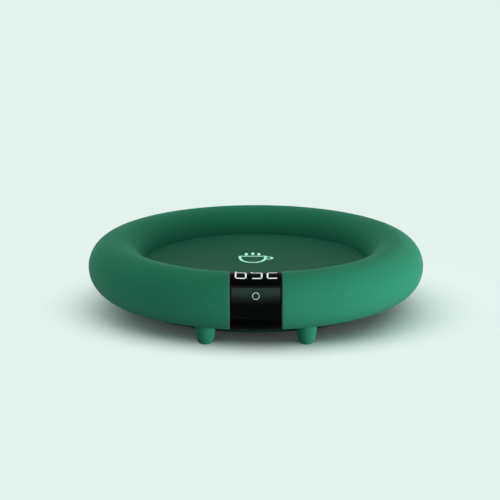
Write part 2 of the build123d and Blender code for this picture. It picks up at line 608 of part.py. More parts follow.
def thermal_fuse():
    """Axial thermal fuse lying against the heater, its legs bent down to the board."""
    body = Pos(0, FUSE_OFFSET, FUSE_CENTRE) * Rot(0, 90, 0) * Cylinder(FUSE_RADIUS, FUSE_LENGTH)
    for side in (-1, 1):
        start = Vector(side * (FUSE_LENGTH / 2 - LEG_RADIUS), FUSE_OFFSET, FUSE_CENTRE)
        corner = Vector(side * (FUSE_LENGTH / 2 + FUSE_LEG_REACH), FUSE_OFFSET, FUSE_CENTRE)
        foot_end = Vector(corner.X, FUSE_OFFSET, BOARD_TOP)
        path = FilletPolyline(start, corner, foot_end, radius=LEG_RADIUS * 3)
        body += sweep(Plane(origin=path @ 0, z_dir=path % 0) * Circle(LEG_RADIUS), path=path)
    return body


def heater_leads():
    """Two leads from the film's tail down to their terminal."""
    found = []
    for side in (-1, 1):
        y = side * LEAD_SPACING / 2
        top = (-HEATER_LEAD_OFFSET, y, HEATER_BOTTOM)
        found.append(Pos(top[0], y, 0) * disc(LEAD_RADIUS, BOARD_TOP + TERMINAL_HEIGHT, HEATER_BOTTOM))
    return found


# ---------------------------------------------------------------- front panel
def panel_skin(width, start, end):
    """A strip of the panel's skin across the front, between two section angles."""
    return band(PANEL_INNER, TUBE_RADIUS, start, end) & front_gap(width / 2)


def display_lens():
    """Tinted lens over the digits, from the key's upper seam over the ring into the well."""
    lens = panel_skin(PANEL_WIDTH, 0, SLEEVE_WELL_ANGLE)
    return lens - press_block(PANEL_WIDTH, -TUBE_RADIUS, KEY_TOP, 0, 2 * TUBE_RADIUS)


def power_key():
    """Press key with the post that works the switch and the two rods that guide it."""
    skin = panel_skin(PANEL_WIDTH - 2 * PANEL_SEAM, -90, 90)
    skin &= press_block(PANEL_WIDTH, KEY_BOTTOM + PANEL_SEAM, KEY_TOP - PANEL_SEAM, 0, 2 * TUBE_RADIUS)
    rods = press_rod(KEY_POST_RADIUS, PLUNGER_TIP, PANEL_INNER + PANEL_WALL / 2)
    for side in (-1, 1):
        rods += key_guide(KEY_GUIDE_RADIUS, KEY_GUIDE_TOP, side)
    return rods + skin


def key_guide(radius, end, side):
    """One of the two rods that keep the key straight, or the bore that it runs in."""
    return press_rod(radius, KEY_GUIDE_END, end, side * KEY_GUIDE_SPREAD, -KEY_GUIDE_DROP)


def panel_chin():
    """Fixed trim below the key, wrapping under the ring."""
    chin = panel_skin(PANEL_WIDTH, SLEEVE_UNDER_ANGLE, 0)
    return chin & press_block(PANEL_WIDTH, -2 * TUBE_RADIUS, KEY_BOTTOM, -TUBE_RADIUS, TUBE_RADIUS)


def panel_bracket():
    """Moulded cassette behind the panel: strip, two cheeks, board rails and screw ears."""
    strip = channel(BRACKET_INNER, BRACKET_OUTER, BRACKET_UNDER_ANGLE, BRACKET_END_ANGLE)
    strip &= front_gap(CHEEK_OUTER)
    strip -= press_block(PANEL_WIDTH, KEY_BOTTOM - PANEL_SEAM, KEY_TOP + PANEL_SEAM, 0, TUBE_RADIUS)
    frame = core(BRACKET_INNER + BRACKET_WALL / 2) & front_gap(CHEEK_OUTER)
    frame -= front_gap(CHEEK_INNER)
    frame += strip
    frame -= disc(max(SPIGOT_OUTER, LEDGE_OUTER) + SEAT_FIT, 0, LEDGE_TOP + SEAT_FIT)
    half_board = DISPLAY_BOARD_DEPTH / 2
    shelf = RING_HEIGHT + DISPLAY_BOARD_BOTTOM
    window = DIGIT_DEPTH / 2 + SECTION_SAG + LOOSE_FIT
    frame -= block(PANEL_WIDTH, -RING_RADIUS - window, -RING_RADIUS + window, shelf, TOTAL_HEIGHT)
    frame += guide_bar()
    for side in (-1, 1):
        x = side * (CHEEK_INNER - RAIL_WIDTH / 2)
        near, far = -RING_RADIUS - half_board, -RING_RADIUS + half_board
        frame += block(RAIL_WIDTH, near, far, shelf - RAIL_WIDTH, shelf, x)
        back = SWITCH_BOARD_BACK
        frame += press_block(RAIL_WIDTH, SWITCH_BOARD_LOW, SWITCH_BOARD_HIGH, back - RAIL_WIDTH, back, x)
        frame += ear(side)
        frame -= Pos(side * EAR_SPREAD, EAR_DEPTH, 0) * disc(SMALL_SCREW_RADIUS + SCREW_FIT, 0, TOTAL_HEIGHT)
    return frame


def guide_bar():
    """Bar between the cheeks with the two bores that the key's guide rods run in."""
    low, high = -KEY_GUIDE_DROP - GUIDE_BAR_HALF, -KEY_GUIDE_DROP + GUIDE_BAR_HALF
    bar = press_block(2 * CHEEK_INNER, low, high, PLUNGER_TIP - GUIDE_BAR_THICKNESS, PLUNGER_TIP)
    for side in (-1, 1):
        bar -= key_guide(KEY_GUIDE_RADIUS + RUNNING_FIT, PLUNGER_TIP, side)
    return bar


def ear(side):
    """Screw ear that reaches from a cheek over its boss in the lower housing."""
    reach = EAR_SPREAD + EAR_WIDTH / 2 - CHEEK_INNER
    near, far = EAR_DEPTH - EAR_WIDTH / 2, EAR_DEPTH + EAR_WIDTH / 2
    x = side * (CHEEK_INNER + reach / 2)
    return block(reach, near, far, EAR_BOTTOM, EAR_BOTTOM + EAR_THICKNESS, x)


def bracket_screws():
    """Two screws through the bracket's ears into the lower housing."""
    length = EAR_THICKNESS + SMALL_SCREW_BITE
    one = Rot(180, 0, 0) * screw(SMALL_SCREW_RADIUS, SMALL_SCREW_HEAD_RADIUS, SMALL_SCREW_HEAD_HEIGHT, length)
    top = EAR_BOTTOM + EAR_THICKNESS
    return [Pos(side * EAR_SPREAD, EAR_DEPTH, top) * one for side in (-1, 1)]


def digit_wells():
    """The light wells of one digit, centred on it: three bars across and two pairs along."""
    across = Box(DIGIT_SPAN - 2 * (DIGIT_BAR + DIGIT_WEB), DIGIT_BAR, 2 * WELL_DEPTH)
    along = Box(DIGIT_BAR, DIGIT_TALL / 2 - 1.5 * DIGIT_BAR - 2 * DIGIT_WEB, 2 * WELL_DEPTH)
    x = (DIGIT_SPAN - DIGIT_BAR) / 2
    y = (DIGIT_TALL - DIGIT_BAR) / 2
    wells = [Pos(0, row * y, 0) * across for row in (-1, 0, 1)]
    for row in (-1, 1):
        wells += [Pos(-x, row * y / 2, 0) * along, Pos(x, row * y / 2, 0) * along]
    return wells


def digit_module():
    """Black block with a light well for each bar of its three digits."""
    half = DIGIT_DEPTH / 2
    low = RING_HEIGHT + DISPLAY_BOARD_TOP
    body = block(DIGIT_WIDTH, -RING_RADIUS - half, -RING_RADIUS + half, low, low + DIGIT_HEIGHT)
    for place in range(DIGIT_COUNT):
        x = (place - (DIGIT_COUNT - 1) / 2) * DIGIT_PITCH
        for well in digit_wells():
            body -= Pos(x, -RING_RADIUS, low + DIGIT_HEIGHT) * well
    return body


def display_board():
    """Small board under the digit module."""
    half = DISPLAY_BOARD_DEPTH / 2
    low = RING_HEIGHT + DISPLAY_BOARD_BOTTOM
    return block(2 * CHEEK_OUTER, -RING_RADIUS - half, -RING_RADIUS + half, low, low + SMALL_BOARD_THICKNESS)


def switch_board():
    """Small board across the key's line of travel, behind the switch."""
    low, high = SWITCH_BOARD_LOW, SWITCH_BOARD_HIGH
    return press_block(2 * CHEEK_INNER, low, high, SWITCH_BOARD_BACK, SWITCH_BOARD_FACE)


def tact_switch():
    """Square switch body with the bore that its plunger runs in."""
    half = SWITCH_SIZE / 2
    body = press_block(SWITCH_SIZE, -half, half, SWITCH_BOARD_FACE, SWITCH_FACE)
    return body - press_rod(PLUNGER_RADIUS + RUNNING_FIT, SWITCH_BOARD_FACE + SWITCH_HEIGHT / 4, SWITCH_FACE)


def switch_plunger():
    """The switch's plunger, touching the key's post."""
    back = SWITCH_BOARD_FACE + SWITCH_HEIGHT / 4 + KEY_TRAVEL + LOOSE_FIT
    return press_rod(PLUNGER_RADIUS, back, PLUNGER_TIP)


def display_ribbon():
    """Flat ribbon from the display board through the housing's notch to the main board."""
    start_y = -RING_RADIUS + DISPLAY_BOARD_DEPTH / 2 - RIBBON_THICKNESS
    middle = BOARD_TOP + TERMINAL_HEIGHT / 2
    points = [
        (0, start_y, RING_HEIGHT + DISPLAY_BOARD_BOTTOM),
        (0, start_y, LEDGE_BOTTOM - LEAD_RADIUS),
        (0, -LEDGE_INNER, middle),
        (0, -TERMINAL_OFFSET - TERMINAL_DEPTH / 2, middle),
    ]
    return lead(points, LEAD_BEND, Rectangle(RIBBON_WIDTH, RIBBON_THICKNESS))


# ---------------------------------------------------------------- power inlet
def inlet_trim():
    """Black cup that lines the recess around the power socket."""
    cup = inlet_blank(0, INLET_FLOOR - INLET_WALL, OUTER_DIAMETER) & tube(TUBE_RADIUS)
    cup -= inlet_blank(-INLET_WALL, INLET_FLOOR, OUTER_DIAMETER)
    return cup - socket_blank(SEAT_FIT, INLET_FLOOR - 2 * INLET_WALL, INLET_FLOOR)


def socket_blank(grow, near, far):
    """The socket's outline with round ends, grown all round, between two depths."""
    outline = SlotOverall(SOCKET_WIDTH + 2 * grow, SOCKET_HEIGHT + 2 * grow)
    plane = Plane(origin=(0, near, INLET_CENTRE), x_dir=(1, 0, 0), z_dir=(0, 1, 0))
    return extrude(plane * outline, amount=far - near)


def usb_socket():
    """Drawn steel shell of the power socket, closed at the back."""
    shell = socket_blank(0, SOCKET_BACK, INLET_FLOOR)
    return shell - socket_blank(-SOCKET_SKIN, SOCKET_BACK + SOCKET_SKIN, INLET_FLOOR)


def socket_tongue():
    """Contact tongue inside the socket."""
    start = SOCKET_BACK + SOCKET_SKIN
    half = TONGUE_THICKNESS / 2
    return block(TONGUE_WIDTH, start, start + TONGUE_LENGTH, INLET_CENTRE - half, INLET_CENTRE + half)


def inlet_board():
    """Small board above the socket, screwed to the upper housing's posts."""
    plate = block(
        INLET_BOARD_WIDTH,
        INLET_BOARD_FRONT,
        INLET_BOARD_FRONT + INLET_BOARD_LENGTH,
        INLET_BOARD_BOTTOM,
        INLET_BOARD_TOP,
    )
    for side in (-1, 1):
        hole = disc(SMALL_SCREW_RADIUS + SCREW_FIT, INLET_BOARD_BOTTOM, INLET_BOARD_TOP)
        plate -= Pos(side * INLET_SCREW_SPREAD, INLET_BOARD_MIDDLE, 0) * hole
    return plate


def inlet_screws():
    """Two screws that hold the inlet board up to its posts."""
    length = BOARD_THICKNESS + SMALL_SCREW_BITE
    one = screw(SMALL_SCREW_RADIUS, SMALL_SCREW_HEAD_RADIUS, SMALL_SCREW_HEAD_HEIGHT, length)
    return [Pos(s * INLET_SCREW_SPREAD, INLET_BOARD_MIDDLE, INLET_BOARD_BOTTOM) * one for s in (-1, 1)]


def inlet_leads():
    """Two leads from the inlet board through the rear notch to the main board."""
    found = []
    middle = BOARD_TOP + TERMINAL_HEIGHT / 2
    start_y = INLET_BOARD_FRONT + 2 * LEAD_RADIUS
    for side in (-1, 1):
        x = side * LEAD_SPACING / 2
        points = [
            (x, start_y, INLET_BOARD_BOTTOM),
            (x, start_y, LEDGE_BOTTOM - 2 * LEAD_RADIUS),
            (x, LEDGE_INNER, middle),
            (x, TERMINAL_OFFSET + TERMINAL_DEPTH / 2, middle),
        ]
        found.append(lead(points, LEAD_BEND, Circle(LEAD_RADIUS)))
    return found


# ---------------------------------------------------------------- main board
def main_board():
    """Round main board on the base's standoffs."""
    board = disc(MAIN_BOARD_RADIUS, BOARD_BOTTOM, BOARD_TOP)
    for bearing in STANDOFF_BEARINGS:
        hole = disc(SMALL_SCREW_RADIUS + SCREW_FIT, BOARD_BOTTOM, BOARD_TOP)
        board -= around(STANDOFF_OFFSET, bearing) * hole
    return board


def board_screws():
    """Four screws that hold the main board to the base."""
    length = BOARD_THICKNESS + SMALL_SCREW_BITE
    one = Rot(180, 0, 0) * screw(SMALL_SCREW_RADIUS, SMALL_SCREW_HEAD_RADIUS, SMALL_SCREW_HEAD_HEIGHT, length)
    return [around(STANDOFF_OFFSET, b) * Pos(0, 0, BOARD_TOP) * one for b in STANDOFF_BEARINGS]


def lead_terminals():
    """Three low terminals: for the display, for the inlet and for the heater."""
    near, far = TERMINAL_OFFSET - TERMINAL_DEPTH / 2, TERMINAL_OFFSET + TERMINAL_DEPTH / 2
    top = BOARD_TOP + TERMINAL_HEIGHT
    half = TERMINAL_LENGTH / 2
    return [
        block(TERMINAL_LENGTH, -far, -near, BOARD_TOP, top),
        block(TERMINAL_LENGTH, near, far, BOARD_TOP, top),
        block(TERMINAL_DEPTH, -half, half, BOARD_TOP, top, x=-HEATER_LEAD_OFFSET),
    ]


def control_chip():
    """Control chip, square and flat."""
    half = CHIP_SIZE / 2
    x, y = CHIP_PLACE
    return block(CHIP_SIZE, y - half, y + half, BOARD_TOP, BOARD_TOP + CHIP_HEIGHT, x=x)


def power_inductor():
    """Drum inductor of the supply."""
    drum = disc(INDUCTOR_RADIUS, BOARD_TOP, BOARD_TOP + INDUCTOR_HEIGHT)
    waist_low, waist_high = BOARD_TOP + INDUCTOR_FLANGE, BOARD_TOP + INDUCTOR_HEIGHT - INDUCTOR_FLANGE
    drum -= hoop(INDUCTOR_RADIUS - INDUCTOR_FLANGE, INDUCTOR_RADIUS, waist_low, waist_high)
    return Pos(*INDUCTOR_PLACE, 0) * drum


def power_transistors():
    """Two flat power transistors that switch the heater."""
    near, far = TRANSISTOR_NEAR, TRANSISTOR_NEAR + TRANSISTOR_DEPTH
    found = []
    for step in range(2):
        x = TRANSISTOR_INSET - MAIN_BOARD_RADIUS + step * TRANSISTOR_PITCH
        found.append(block(TRANSISTOR_WIDTH, near, far, BOARD_TOP, BOARD_TOP + TRANSISTOR_HEIGHT, x=x))
    return found


# node name -> its solids
PARTS = {
    "ring_sleeve": ring_sleeve(),
    "upper_housing": upper_housing(),
    "lower_housing": lower_housing(),
    "base_cover": base_cover(),
    "base_screws": base_screws(),
    "glass_plate": glass_plate(),
    "plate_gasket": plate_gasket(),
    "heat_spreader": heat_spreader(),
    "heater_film": heater_film(),
    "insulation_pad": insulation_pad(),
    "heater_carrier": heater_carrier(),
    "carrier_screws": carrier_screws(),
    "temperature_sensor": temperature_sensor(),
    "thermal_fuse": thermal_fuse(),
    "heater_leads": heater_leads(),
    "display_lens": display_lens(),
    "power_key": power_key(),
    "panel_chin": panel_chin(),
    "panel_bracket": panel_bracket(),
    "bracket_screws": bracket_screws(),
    "digit_module": digit_module(),
    "display_board": display_board(),
    "switch_board": switch_board(),
    "tact_switch": tact_switch(),
    "switch_plunger": switch_plunger(),
    "display_ribbon": display_ribbon(),
    "inlet_trim": inlet_trim(),
    "usb_socket": usb_socket(),
    "socket_tongue": socket_tongue(),
    "inlet_board": inlet_board(),
    "inlet_screws": inlet_screws(),
    "inlet_leads": inlet_leads(),
    "main_board": main_board(),
    "lead_terminals": lead_terminals(),
    "control_chip": control_chip(),
    "power_inductor": power_inductor(),
    "power_transistors": power_transistors(),
    "board_screws": board_screws(),
}
for foot_name, foot_bearing in FOOT_BEARINGS.items():
    PARTS["foot_" + foot_name] = foot(foot_bearing)

os.makedirs("parts", exist_ok=True)
for node, solids in PARTS.items():
    shape = Compound(children=solids) if isinstance(solids, list) else solids
    export_step(shape, f"parts/{node}.step")
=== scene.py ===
import json
import math

import bpy
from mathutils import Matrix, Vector


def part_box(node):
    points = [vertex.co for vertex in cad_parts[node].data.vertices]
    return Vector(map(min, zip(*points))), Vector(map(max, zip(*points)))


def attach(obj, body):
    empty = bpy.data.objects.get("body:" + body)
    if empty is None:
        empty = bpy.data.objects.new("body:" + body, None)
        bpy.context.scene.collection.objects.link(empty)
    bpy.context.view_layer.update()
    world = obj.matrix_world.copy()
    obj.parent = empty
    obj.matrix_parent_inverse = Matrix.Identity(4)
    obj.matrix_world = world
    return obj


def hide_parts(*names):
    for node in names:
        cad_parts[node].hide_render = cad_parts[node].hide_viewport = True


# Electric mug warmer, dressed over its CAD frame: the soft sleeve and feet, the glossy front panel
# with its lit digits and press key, the print on the glass, the inlet's contacts, and a procedural
# finish on every piece.
# Metres, +Z up, the front is -Y. Section angles start at the ring's outermost point and turn over
# the top; bearings start at the front and turn towards +X.

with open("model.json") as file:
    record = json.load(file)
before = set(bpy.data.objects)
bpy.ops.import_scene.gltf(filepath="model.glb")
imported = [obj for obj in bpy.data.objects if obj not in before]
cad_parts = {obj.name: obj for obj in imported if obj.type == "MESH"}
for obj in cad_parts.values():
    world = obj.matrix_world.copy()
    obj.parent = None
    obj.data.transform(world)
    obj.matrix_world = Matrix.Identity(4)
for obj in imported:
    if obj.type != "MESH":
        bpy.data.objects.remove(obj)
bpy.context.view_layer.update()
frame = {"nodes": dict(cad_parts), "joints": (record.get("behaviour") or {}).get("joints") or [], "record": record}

MM = 0.001
FULL_TURN = 2 * math.pi

# ---- the ring, the panel, the glass, the feet and the inlet, from the frame ----
sleeve_low, sleeve_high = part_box("ring_sleeve")
_, lens_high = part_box("display_lens")
_, key_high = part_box("power_key")
_, glass_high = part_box("glass_plate")
trim_low, trim_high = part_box("inlet_trim")
tongue_low, tongue_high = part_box("socket_tongue")
TUBE = (sleeve_high.z - sleeve_low.z) / 2
RING = sleeve_high.x - TUBE
RING_Z = sleeve_high.z - TUBE
PANEL_HALF = lens_high.x
KEY_HALF = key_high.x
GLASS_TOP = glass_high.z
FEET = [name for name in frame["nodes"] if name.startswith("foot_")]
PRESS_AXIS = Vector(next(joint["axis"] for joint in frame["joints"] if joint["child"] == "power_key"))
PRESS_TURN = math.atan2(-PRESS_AXIS.z, PRESS_AXIS.y)

# ---- edges; the turns are in degrees ----
EDGE_STEPS = 6
PIECE_SHARP_TURN = 40
NODE_SHARP_TURN = 30

# ---- sleeve ----
SLEEVE_UNDER = math.radians(-110)
SLEEVE_WELL = math.radians(190)
SLEEVE_WALL = 1.35 * MM
SLEEVE_LIP = 0.4 * MM
SLEEVE_SEAM = 0.1 * MM
SLEEVE_RIM = 0.5 * MM
# the painted highlight's band beside the panel: full colour out to the first distance from the panel's side, gone
# by the second
RIM_HIGHLIGHT_FULL = 0.45 * MM
RIM_HIGHLIGHT_END = 1.0 * MM
SECTION_STEPS = 110
BEARING_STEPS = 280
HOLE_GAP = 0.1 * MM
FOOT_HOLE_SIDES = 64
INLET_CORNER = 2.6 * MM
INLET_CORNER_STEPS = 8

# ---- feet ----
FOOT_TIP = 0.42
FOOT_TAPER = 5.8 * MM
FOOT_ROWS = 28
FOOT_SIDES = 72

# ---- panel ----
PANEL_WALL = 1.55 * MM
PANEL_SINK = 0.04 * MM
PANEL_ROUND = 0.17 * MM
PANEL_COLUMNS = 48
PANEL_ROWS = 90
KEY_SEAM_LEVEL = 5.0 * MM
CHIN_SEAM_LEVEL = -6.0 * MM
SEAM_GAP = 0.15 * MM
SEAM_ROUNDS = 5
POST_RADIUS = 1.5 * MM
POST_TIP = 4.4 * MM
GUIDE_RADIUS = 1.0 * MM
GUIDE_TIP = 2.6 * MM
GUIDE_DROP = 4.6 * MM
GUIDE_SPREAD = 5.2 * MM
ROD_CHAMFER = 0.15 * MM
ROD_SIDES = 32
ROD_OVERLAP = 0.2 * MM

# ---- prints and lit bars ----
PRINT_LIFT = 0.012 * MM
PRINT_SINK = 0.05 * MM
DIGIT_MIDDLE = math.radians(91)
DIGIT_SHIFT = 0.28 * MM
DIGIT_WIDTH = 4.0 * MM
DIGIT_HEIGHT = 9.0 * MM
DIGIT_PITCH = 5.45 * MM
BAR_WIDTH = 0.54 * MM
BAR_TIP = 0.03 * MM
BAR_GAP = 0.1 * MM
BAR_STEPS = 14
SEGMENTS = {"6": "acdefg", "5": "acdfg", "c": "deg"}
READOUT = "65c"
MARK_ANGLE = math.radians(25.8)
MARK_RADIUS = 1.13 * MM
MARK_STROKE = 0.27 * MM
MARK_STEPS = 64
ICON_LIFT = 0.015 * MM
ICON_LAYER = 0.003 * MM
ICON_STROKE = 1.0 * MM
STROKE_END_STEPS = 8
CUP_MIDDLE = -1.16 * MM
CUP_RIM = 6.1 * MM
CUP_HALF = 4.85 * MM
CUP_DEPTH = 9.2 * MM
CUP_FULLNESS = 2.5
CUP_STEPS = 40
CUP_CORNER = 0.55 * MM
CUP_CORNER_STEPS = 6
HANDLE_CENTRE = (4.5 * MM, 3.3 * MM)
HANDLE_RADIUS = 1.65 * MM
HANDLE_STROKE = 0.8 * MM
HANDLE_DEGREES = 250
HANDLE_STEPS = 24
STEAM_PLACES = ((-3.6 * MM, 9.0 * MM), (-1.15 * MM, 9.7 * MM), (1.15 * MM, 9.0 * MM))
STEAM_LENGTH = 2.2 * MM
STEAM_STEPS = 6
STEAM_STROKE = 1.15 * MM

# ---- contacts on the socket's tongue ----
CONTACT_COUNT = 6
CONTACT_WIDTH = 0.55 * MM
CONTACT_LIFT = 0.04 * MM
CONTACT_END_LIFT = 0.05 * CONTACT_LIFT
CONTACT_MARGIN = 0.3 * MM

# ---- finishes: the span that most of a noise's values fill, the board's tracks, the heater's bands,
# the digits' diffuser and the shared colours ----
NOISE_LOW = 0.3
NOISE_HIGH = 0.7
TRACK_SCALE = 120.0
TRACK_WIDTH = 0.03
TRACK_GAIN = 2.2
BAND_SCALE = 55.0
BAND_EDGE_LOW = 0.45
BAND_EDGE_HIGH = 0.55
BAND_SHADE = 0.4
DIFFUSER_DIM = 0.88
DIFFUSER_BODY = (0.02, 0.02, 0.02)
SILICONE_GREEN = (0.0135, 0.107, 0.063)
# paler, greyer green painted beside the panel as a highlight on the sleeve's rim
SILICONE_RIM_HIGHLIGHT = (0.028, 0.088, 0.06)
KEY_BLACK = (0.0005, 0.0008, 0.0007)

# ---- camera, measured from the ring's centre ----
CAMERA_ELEVATION = math.radians(14.67)
CAMERA_DISTANCE = 0.66
CAMERA_LENS = 127.7
CAMERA_SENSOR = 36.0
CAMERA_CLIP = (0.01, 50.0)
IMAGE_SIZE = 500
RING_CENTRE_PIXEL = (255.86, 262.87)

# ---- light ----
BACKDROP = (0.768, 0.888, 0.847, 1.0)
SKY = (0.66, 1.0, 0.92, 1.0)
SKY_STRENGTH = 0.71
SOFTBOX_STRENGTH = 16.5
SOFTBOX_COLOUR = (0.55, 1.0, 0.79, 1.0)
SOFTBOX_TOP = math.sin(math.radians(75.3))
SOFTBOX_LOW = math.sin(math.radians(-4))
SOFTBOX_FULL = math.sin(math.radians(45))
SOFTBOX_CURVE = 1.8
SOFTBOX_HALF = 0.3
SOFTBOX_FADE = 0.42
SOFTBOX_AHEAD_LOW = 0.05
SOFTBOX_AHEAD_FULL = 0.3
KEY_LIGHT_BEARING = math.radians(64)
KEY_LIGHT_POWER = 12.5
FILL_LIGHT_BEARING = math.radians(-65)
FILL_LIGHT_POWER = 1.0
LOW_LIGHT_DISTANCE = 0.8
LOW_LIGHT_HEIGHT = 0.009
LOW_LIGHT_SIZE = (0.6, 0.016)
TOP_LIGHT_POWER = 26.0
TOP_LIGHT_PLACE = (0.0, 0.92, 1.36)
TOP_LIGHT_SIZE = (4.6, 0.65)
FLOOR_SIZE = 8.0
FLOOR_NEAR = 0.055
FLOOR_FAR = 0.0805
FLOOR_SHIFT = (-0.0046, -0.009, 0.0)
FLOOR_STRETCH = (0.83, 1.0, 1.0)
FLOOR_COLOUR = (0.91, 0.84, 0.85, 1.0)


# ---------------------------------------------------------------- shared shapes
def ring_point(radius, angle, bearing):
    """A point on the ring, from its section radius, section angle and bearing."""
    out = RING + radius * math.cos(angle)
    return Vector((out * math.sin(bearing), -out * math.cos(bearing), RING_Z + radius * math.sin(angle)))


def front_point(radius, angle, x):
    """A point on the front of the ring at a given distance beside the middle."""
    out = RING + radius * math.cos(angle)
    return Vector((x, -math.sqrt(out**2 - x**2), RING_Z + radius * math.sin(angle)))


def rounding(size):
    """Steps of a rounded edge: distance in from the edge, and depth below the face."""
    turns = [step / EDGE_STEPS * math.pi / 2 for step in range(EDGE_STEPS + 1)]
    return [(size * (1 - math.cos(turn)), size * (1 - math.sin(turn))) for turn in turns]


def mesh_object(name, points, faces):
    """A plain mesh object in the scene."""
    mesh = bpy.data.meshes.new(name)
    mesh.from_pydata([tuple(point) for point in points], [], faces)
    item = bpy.data.objects.new(name, mesh)
    bpy.context.scene.collection.objects.link(item)
    return item


def new_piece(name, points, faces, slot, material):
    """A mesh piece with smooth faces and sharp edges, wearing its material; the slot is not used."""
    piece = mesh_object(name, points, faces)
    piece.data.validate()
    piece.data.materials.append(material)
    shade(piece, PIECE_SHARP_TURN)
    return piece


def shade(piece, sharp_turn):
    """Smooth shading, sharp where the faces turn by more than an angle in degrees."""
    for face in piece.data.polygons:
        face.use_smooth = True
    piece.data.set_sharp_from_angle(angle=math.radians(sharp_turn))


def cut(piece, cutters):
    """Cuts the cutters' shapes out of a piece."""
    for cutter in cutters:
        modifier = piece.modifiers.new("cut", "BOOLEAN")
        modifier.operation = "DIFFERENCE"
        modifier.solver = "EXACT"
        modifier.object = cutter
    graph = bpy.context.evaluated_depsgraph_get()
    mesh = bpy.data.meshes.new_from_object(piece.evaluated_get(graph))
    piece.modifiers.clear()
    piece.data = mesh
    for cutter in cutters:
        bpy.data.objects.remove(cutter)
    shade(piece, PIECE_SHARP_TURN)


def prism(name, outline, offset):
    """A solid between an outline of points and its copy moved by an offset."""
    count = len(outline)
    points = list(outline) + [point + offset for point in outline]
    faces = [tuple(range(count))[::-1], tuple(range(count, 2 * count))]
    faces += [(i, (i + 1) % count, count + (i + 1) % count, count + i) for i in range(count)]
    return mesh_object(name, points, faces)


def wall_faces(rows, sides):
    """Faces of a closed wall between rows of points, one row above the other."""
    faces = []
    for row in range(rows):
        for i in range(sides):
            a, b = row * sides + i, row * sides + (i + 1) % sides
            faces.append((a, b, b + sides, a + sides))
    return faces


def merged(shapes):
    """The points and faces of several shapes as those of one."""
    points, faces = [], []
    for new_points, new_faces in shapes:
        faces += [tuple(len(points) + corner for corner in face) for face in new_faces]
        points += new_points
    return points, faces


# ---------------------------------------------------------------- sleeve
def sleeve_section():
    """The outer line of the sleeve's section: angle, and depth below the surface."""
    lip = rounding(SLEEVE_LIP)
    outer = [(SLEEVE_UNDER + inset / TUBE, depth) for inset, depth in lip[:-1]]
    first, last = SLEEVE_UNDER + SLEEVE_LIP / TUBE, SLEEVE_WELL - SLEEVE_LIP / TUBE
    outer += [(first + (last - first) * i / SECTION_STEPS, 0.0) for i in range(SECTION_STEPS + 1)]
    outer += [(SLEEVE_WELL - inset / TUBE, depth) for inset, depth in reversed(lip[:-1])]
    return outer


def sleeve_bearings(out, rim):
    """The bearings of the sleeve's columns at one distance from the ring's upright axis."""
    cut_at = PANEL_HALF + SLEEVE_SEAM
    near = [math.asin((cut_at + inset) / out) for inset, _ in rim[:-1]]
    first = math.asin((cut_at + SLEEVE_RIM) / out)
    span = FULL_TURN - 2 * first
    middle = [first + span * i / BEARING_STEPS for i in range(BEARING_STEPS + 1)]
    return near + middle + [FULL_TURN - bearing for bearing in reversed(near)]


def build_sleeve(material):
    """Soft skin over the ring, open at the panel, with a rounded rim beside it."""
    section = sleeve_section()
    rim = rounding(SLEEVE_RIM)
    depths = [depth for _, depth in rim[:-1]]
    depths = depths + [0.0] * (BEARING_STEPS + 1) + depths[::-1]
    loop = [(angle, depth, False) for angle, depth in section]
    loop += [(angle, depth, True) for angle, depth in reversed(section)]
    rows = []
    for angle, depth, inside in loop:
        row = []
        for column, bearing in enumerate(sleeve_bearings(RING + TUBE * math.cos(angle), rim)):
            sunk = SLEEVE_WALL if inside else min(depth + depths[column], SLEEVE_WALL)
            row.append(ring_point(TUBE - sunk, angle, bearing))
        rows.append(row)
    columns = len(depths)
    points = [point for row in rows for point in row]
    faces = []
    for i in range(len(rows)):
        here, after = i * columns, (i + 1) % len(rows) * columns
        for j in range(columns - 1):
            faces.append((here + j, after + j, after + j + 1, here + j + 1))
    half = len(section)
    for i in range(half - 1):
        inner = len(rows) - 1 - i
        for column, order in ((0, 1), (columns - 1, -1)):
            corners = [row * columns + column for row in (i, inner, inner - 1, i + 1)]
            faces.append(tuple(corners[::order]))
    sleeve = new_piece("sleeve_skin", points, faces, "sleeve_silicone", material)
    cut(sleeve, [inlet_hole()] + [foot_hole(node) for node in FEET])
    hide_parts("ring_sleeve")
    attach(sleeve, "warmer_body")


def inlet_hole():
    """The rounded opening for the power inlet."""
    width = trim_high.x - trim_low.x + 2 * HOLE_GAP
    height = trim_high.z - trim_low.z + 2 * HOLE_GAP
    middle = (trim_low.z + trim_high.z) / 2
    corner = INLET_CORNER + HOLE_GAP
    outline = []
    for quarter, (side_x, side_z) in enumerate(((1, 1), (-1, 1), (-1, -1), (1, -1))):
        for step in range(INLET_CORNER_STEPS + 1):
            turn = (quarter + step / INLET_CORNER_STEPS) * math.pi / 2
            x = side_x * (width / 2 - corner) + corner * math.cos(turn)
            z = middle + side_z * (height / 2 - corner) + corner * math.sin(turn)
            outline.append(Vector((x, RING, z)))
    return prism("inlet_hole", outline[::-1], Vector((0, 2 * TUBE, 0)))


def foot_hole(node):
    """The round opening that a foot stands in."""
    low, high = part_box(node)
    radius = (high.x - low.x) / 2 + HOLE_GAP
    x, y = (low.x + high.x) / 2, (low.y + high.y) / 2
    turns = [FULL_TURN * i / FOOT_HOLE_SIDES for i in range(FOOT_HOLE_SIDES)]
    outline = [Vector((x + radius * math.cos(t), y + radius * math.sin(t), 0)) for t in turns]
    return prism("foot_hole", outline, Vector((0, 0, RING_Z)))


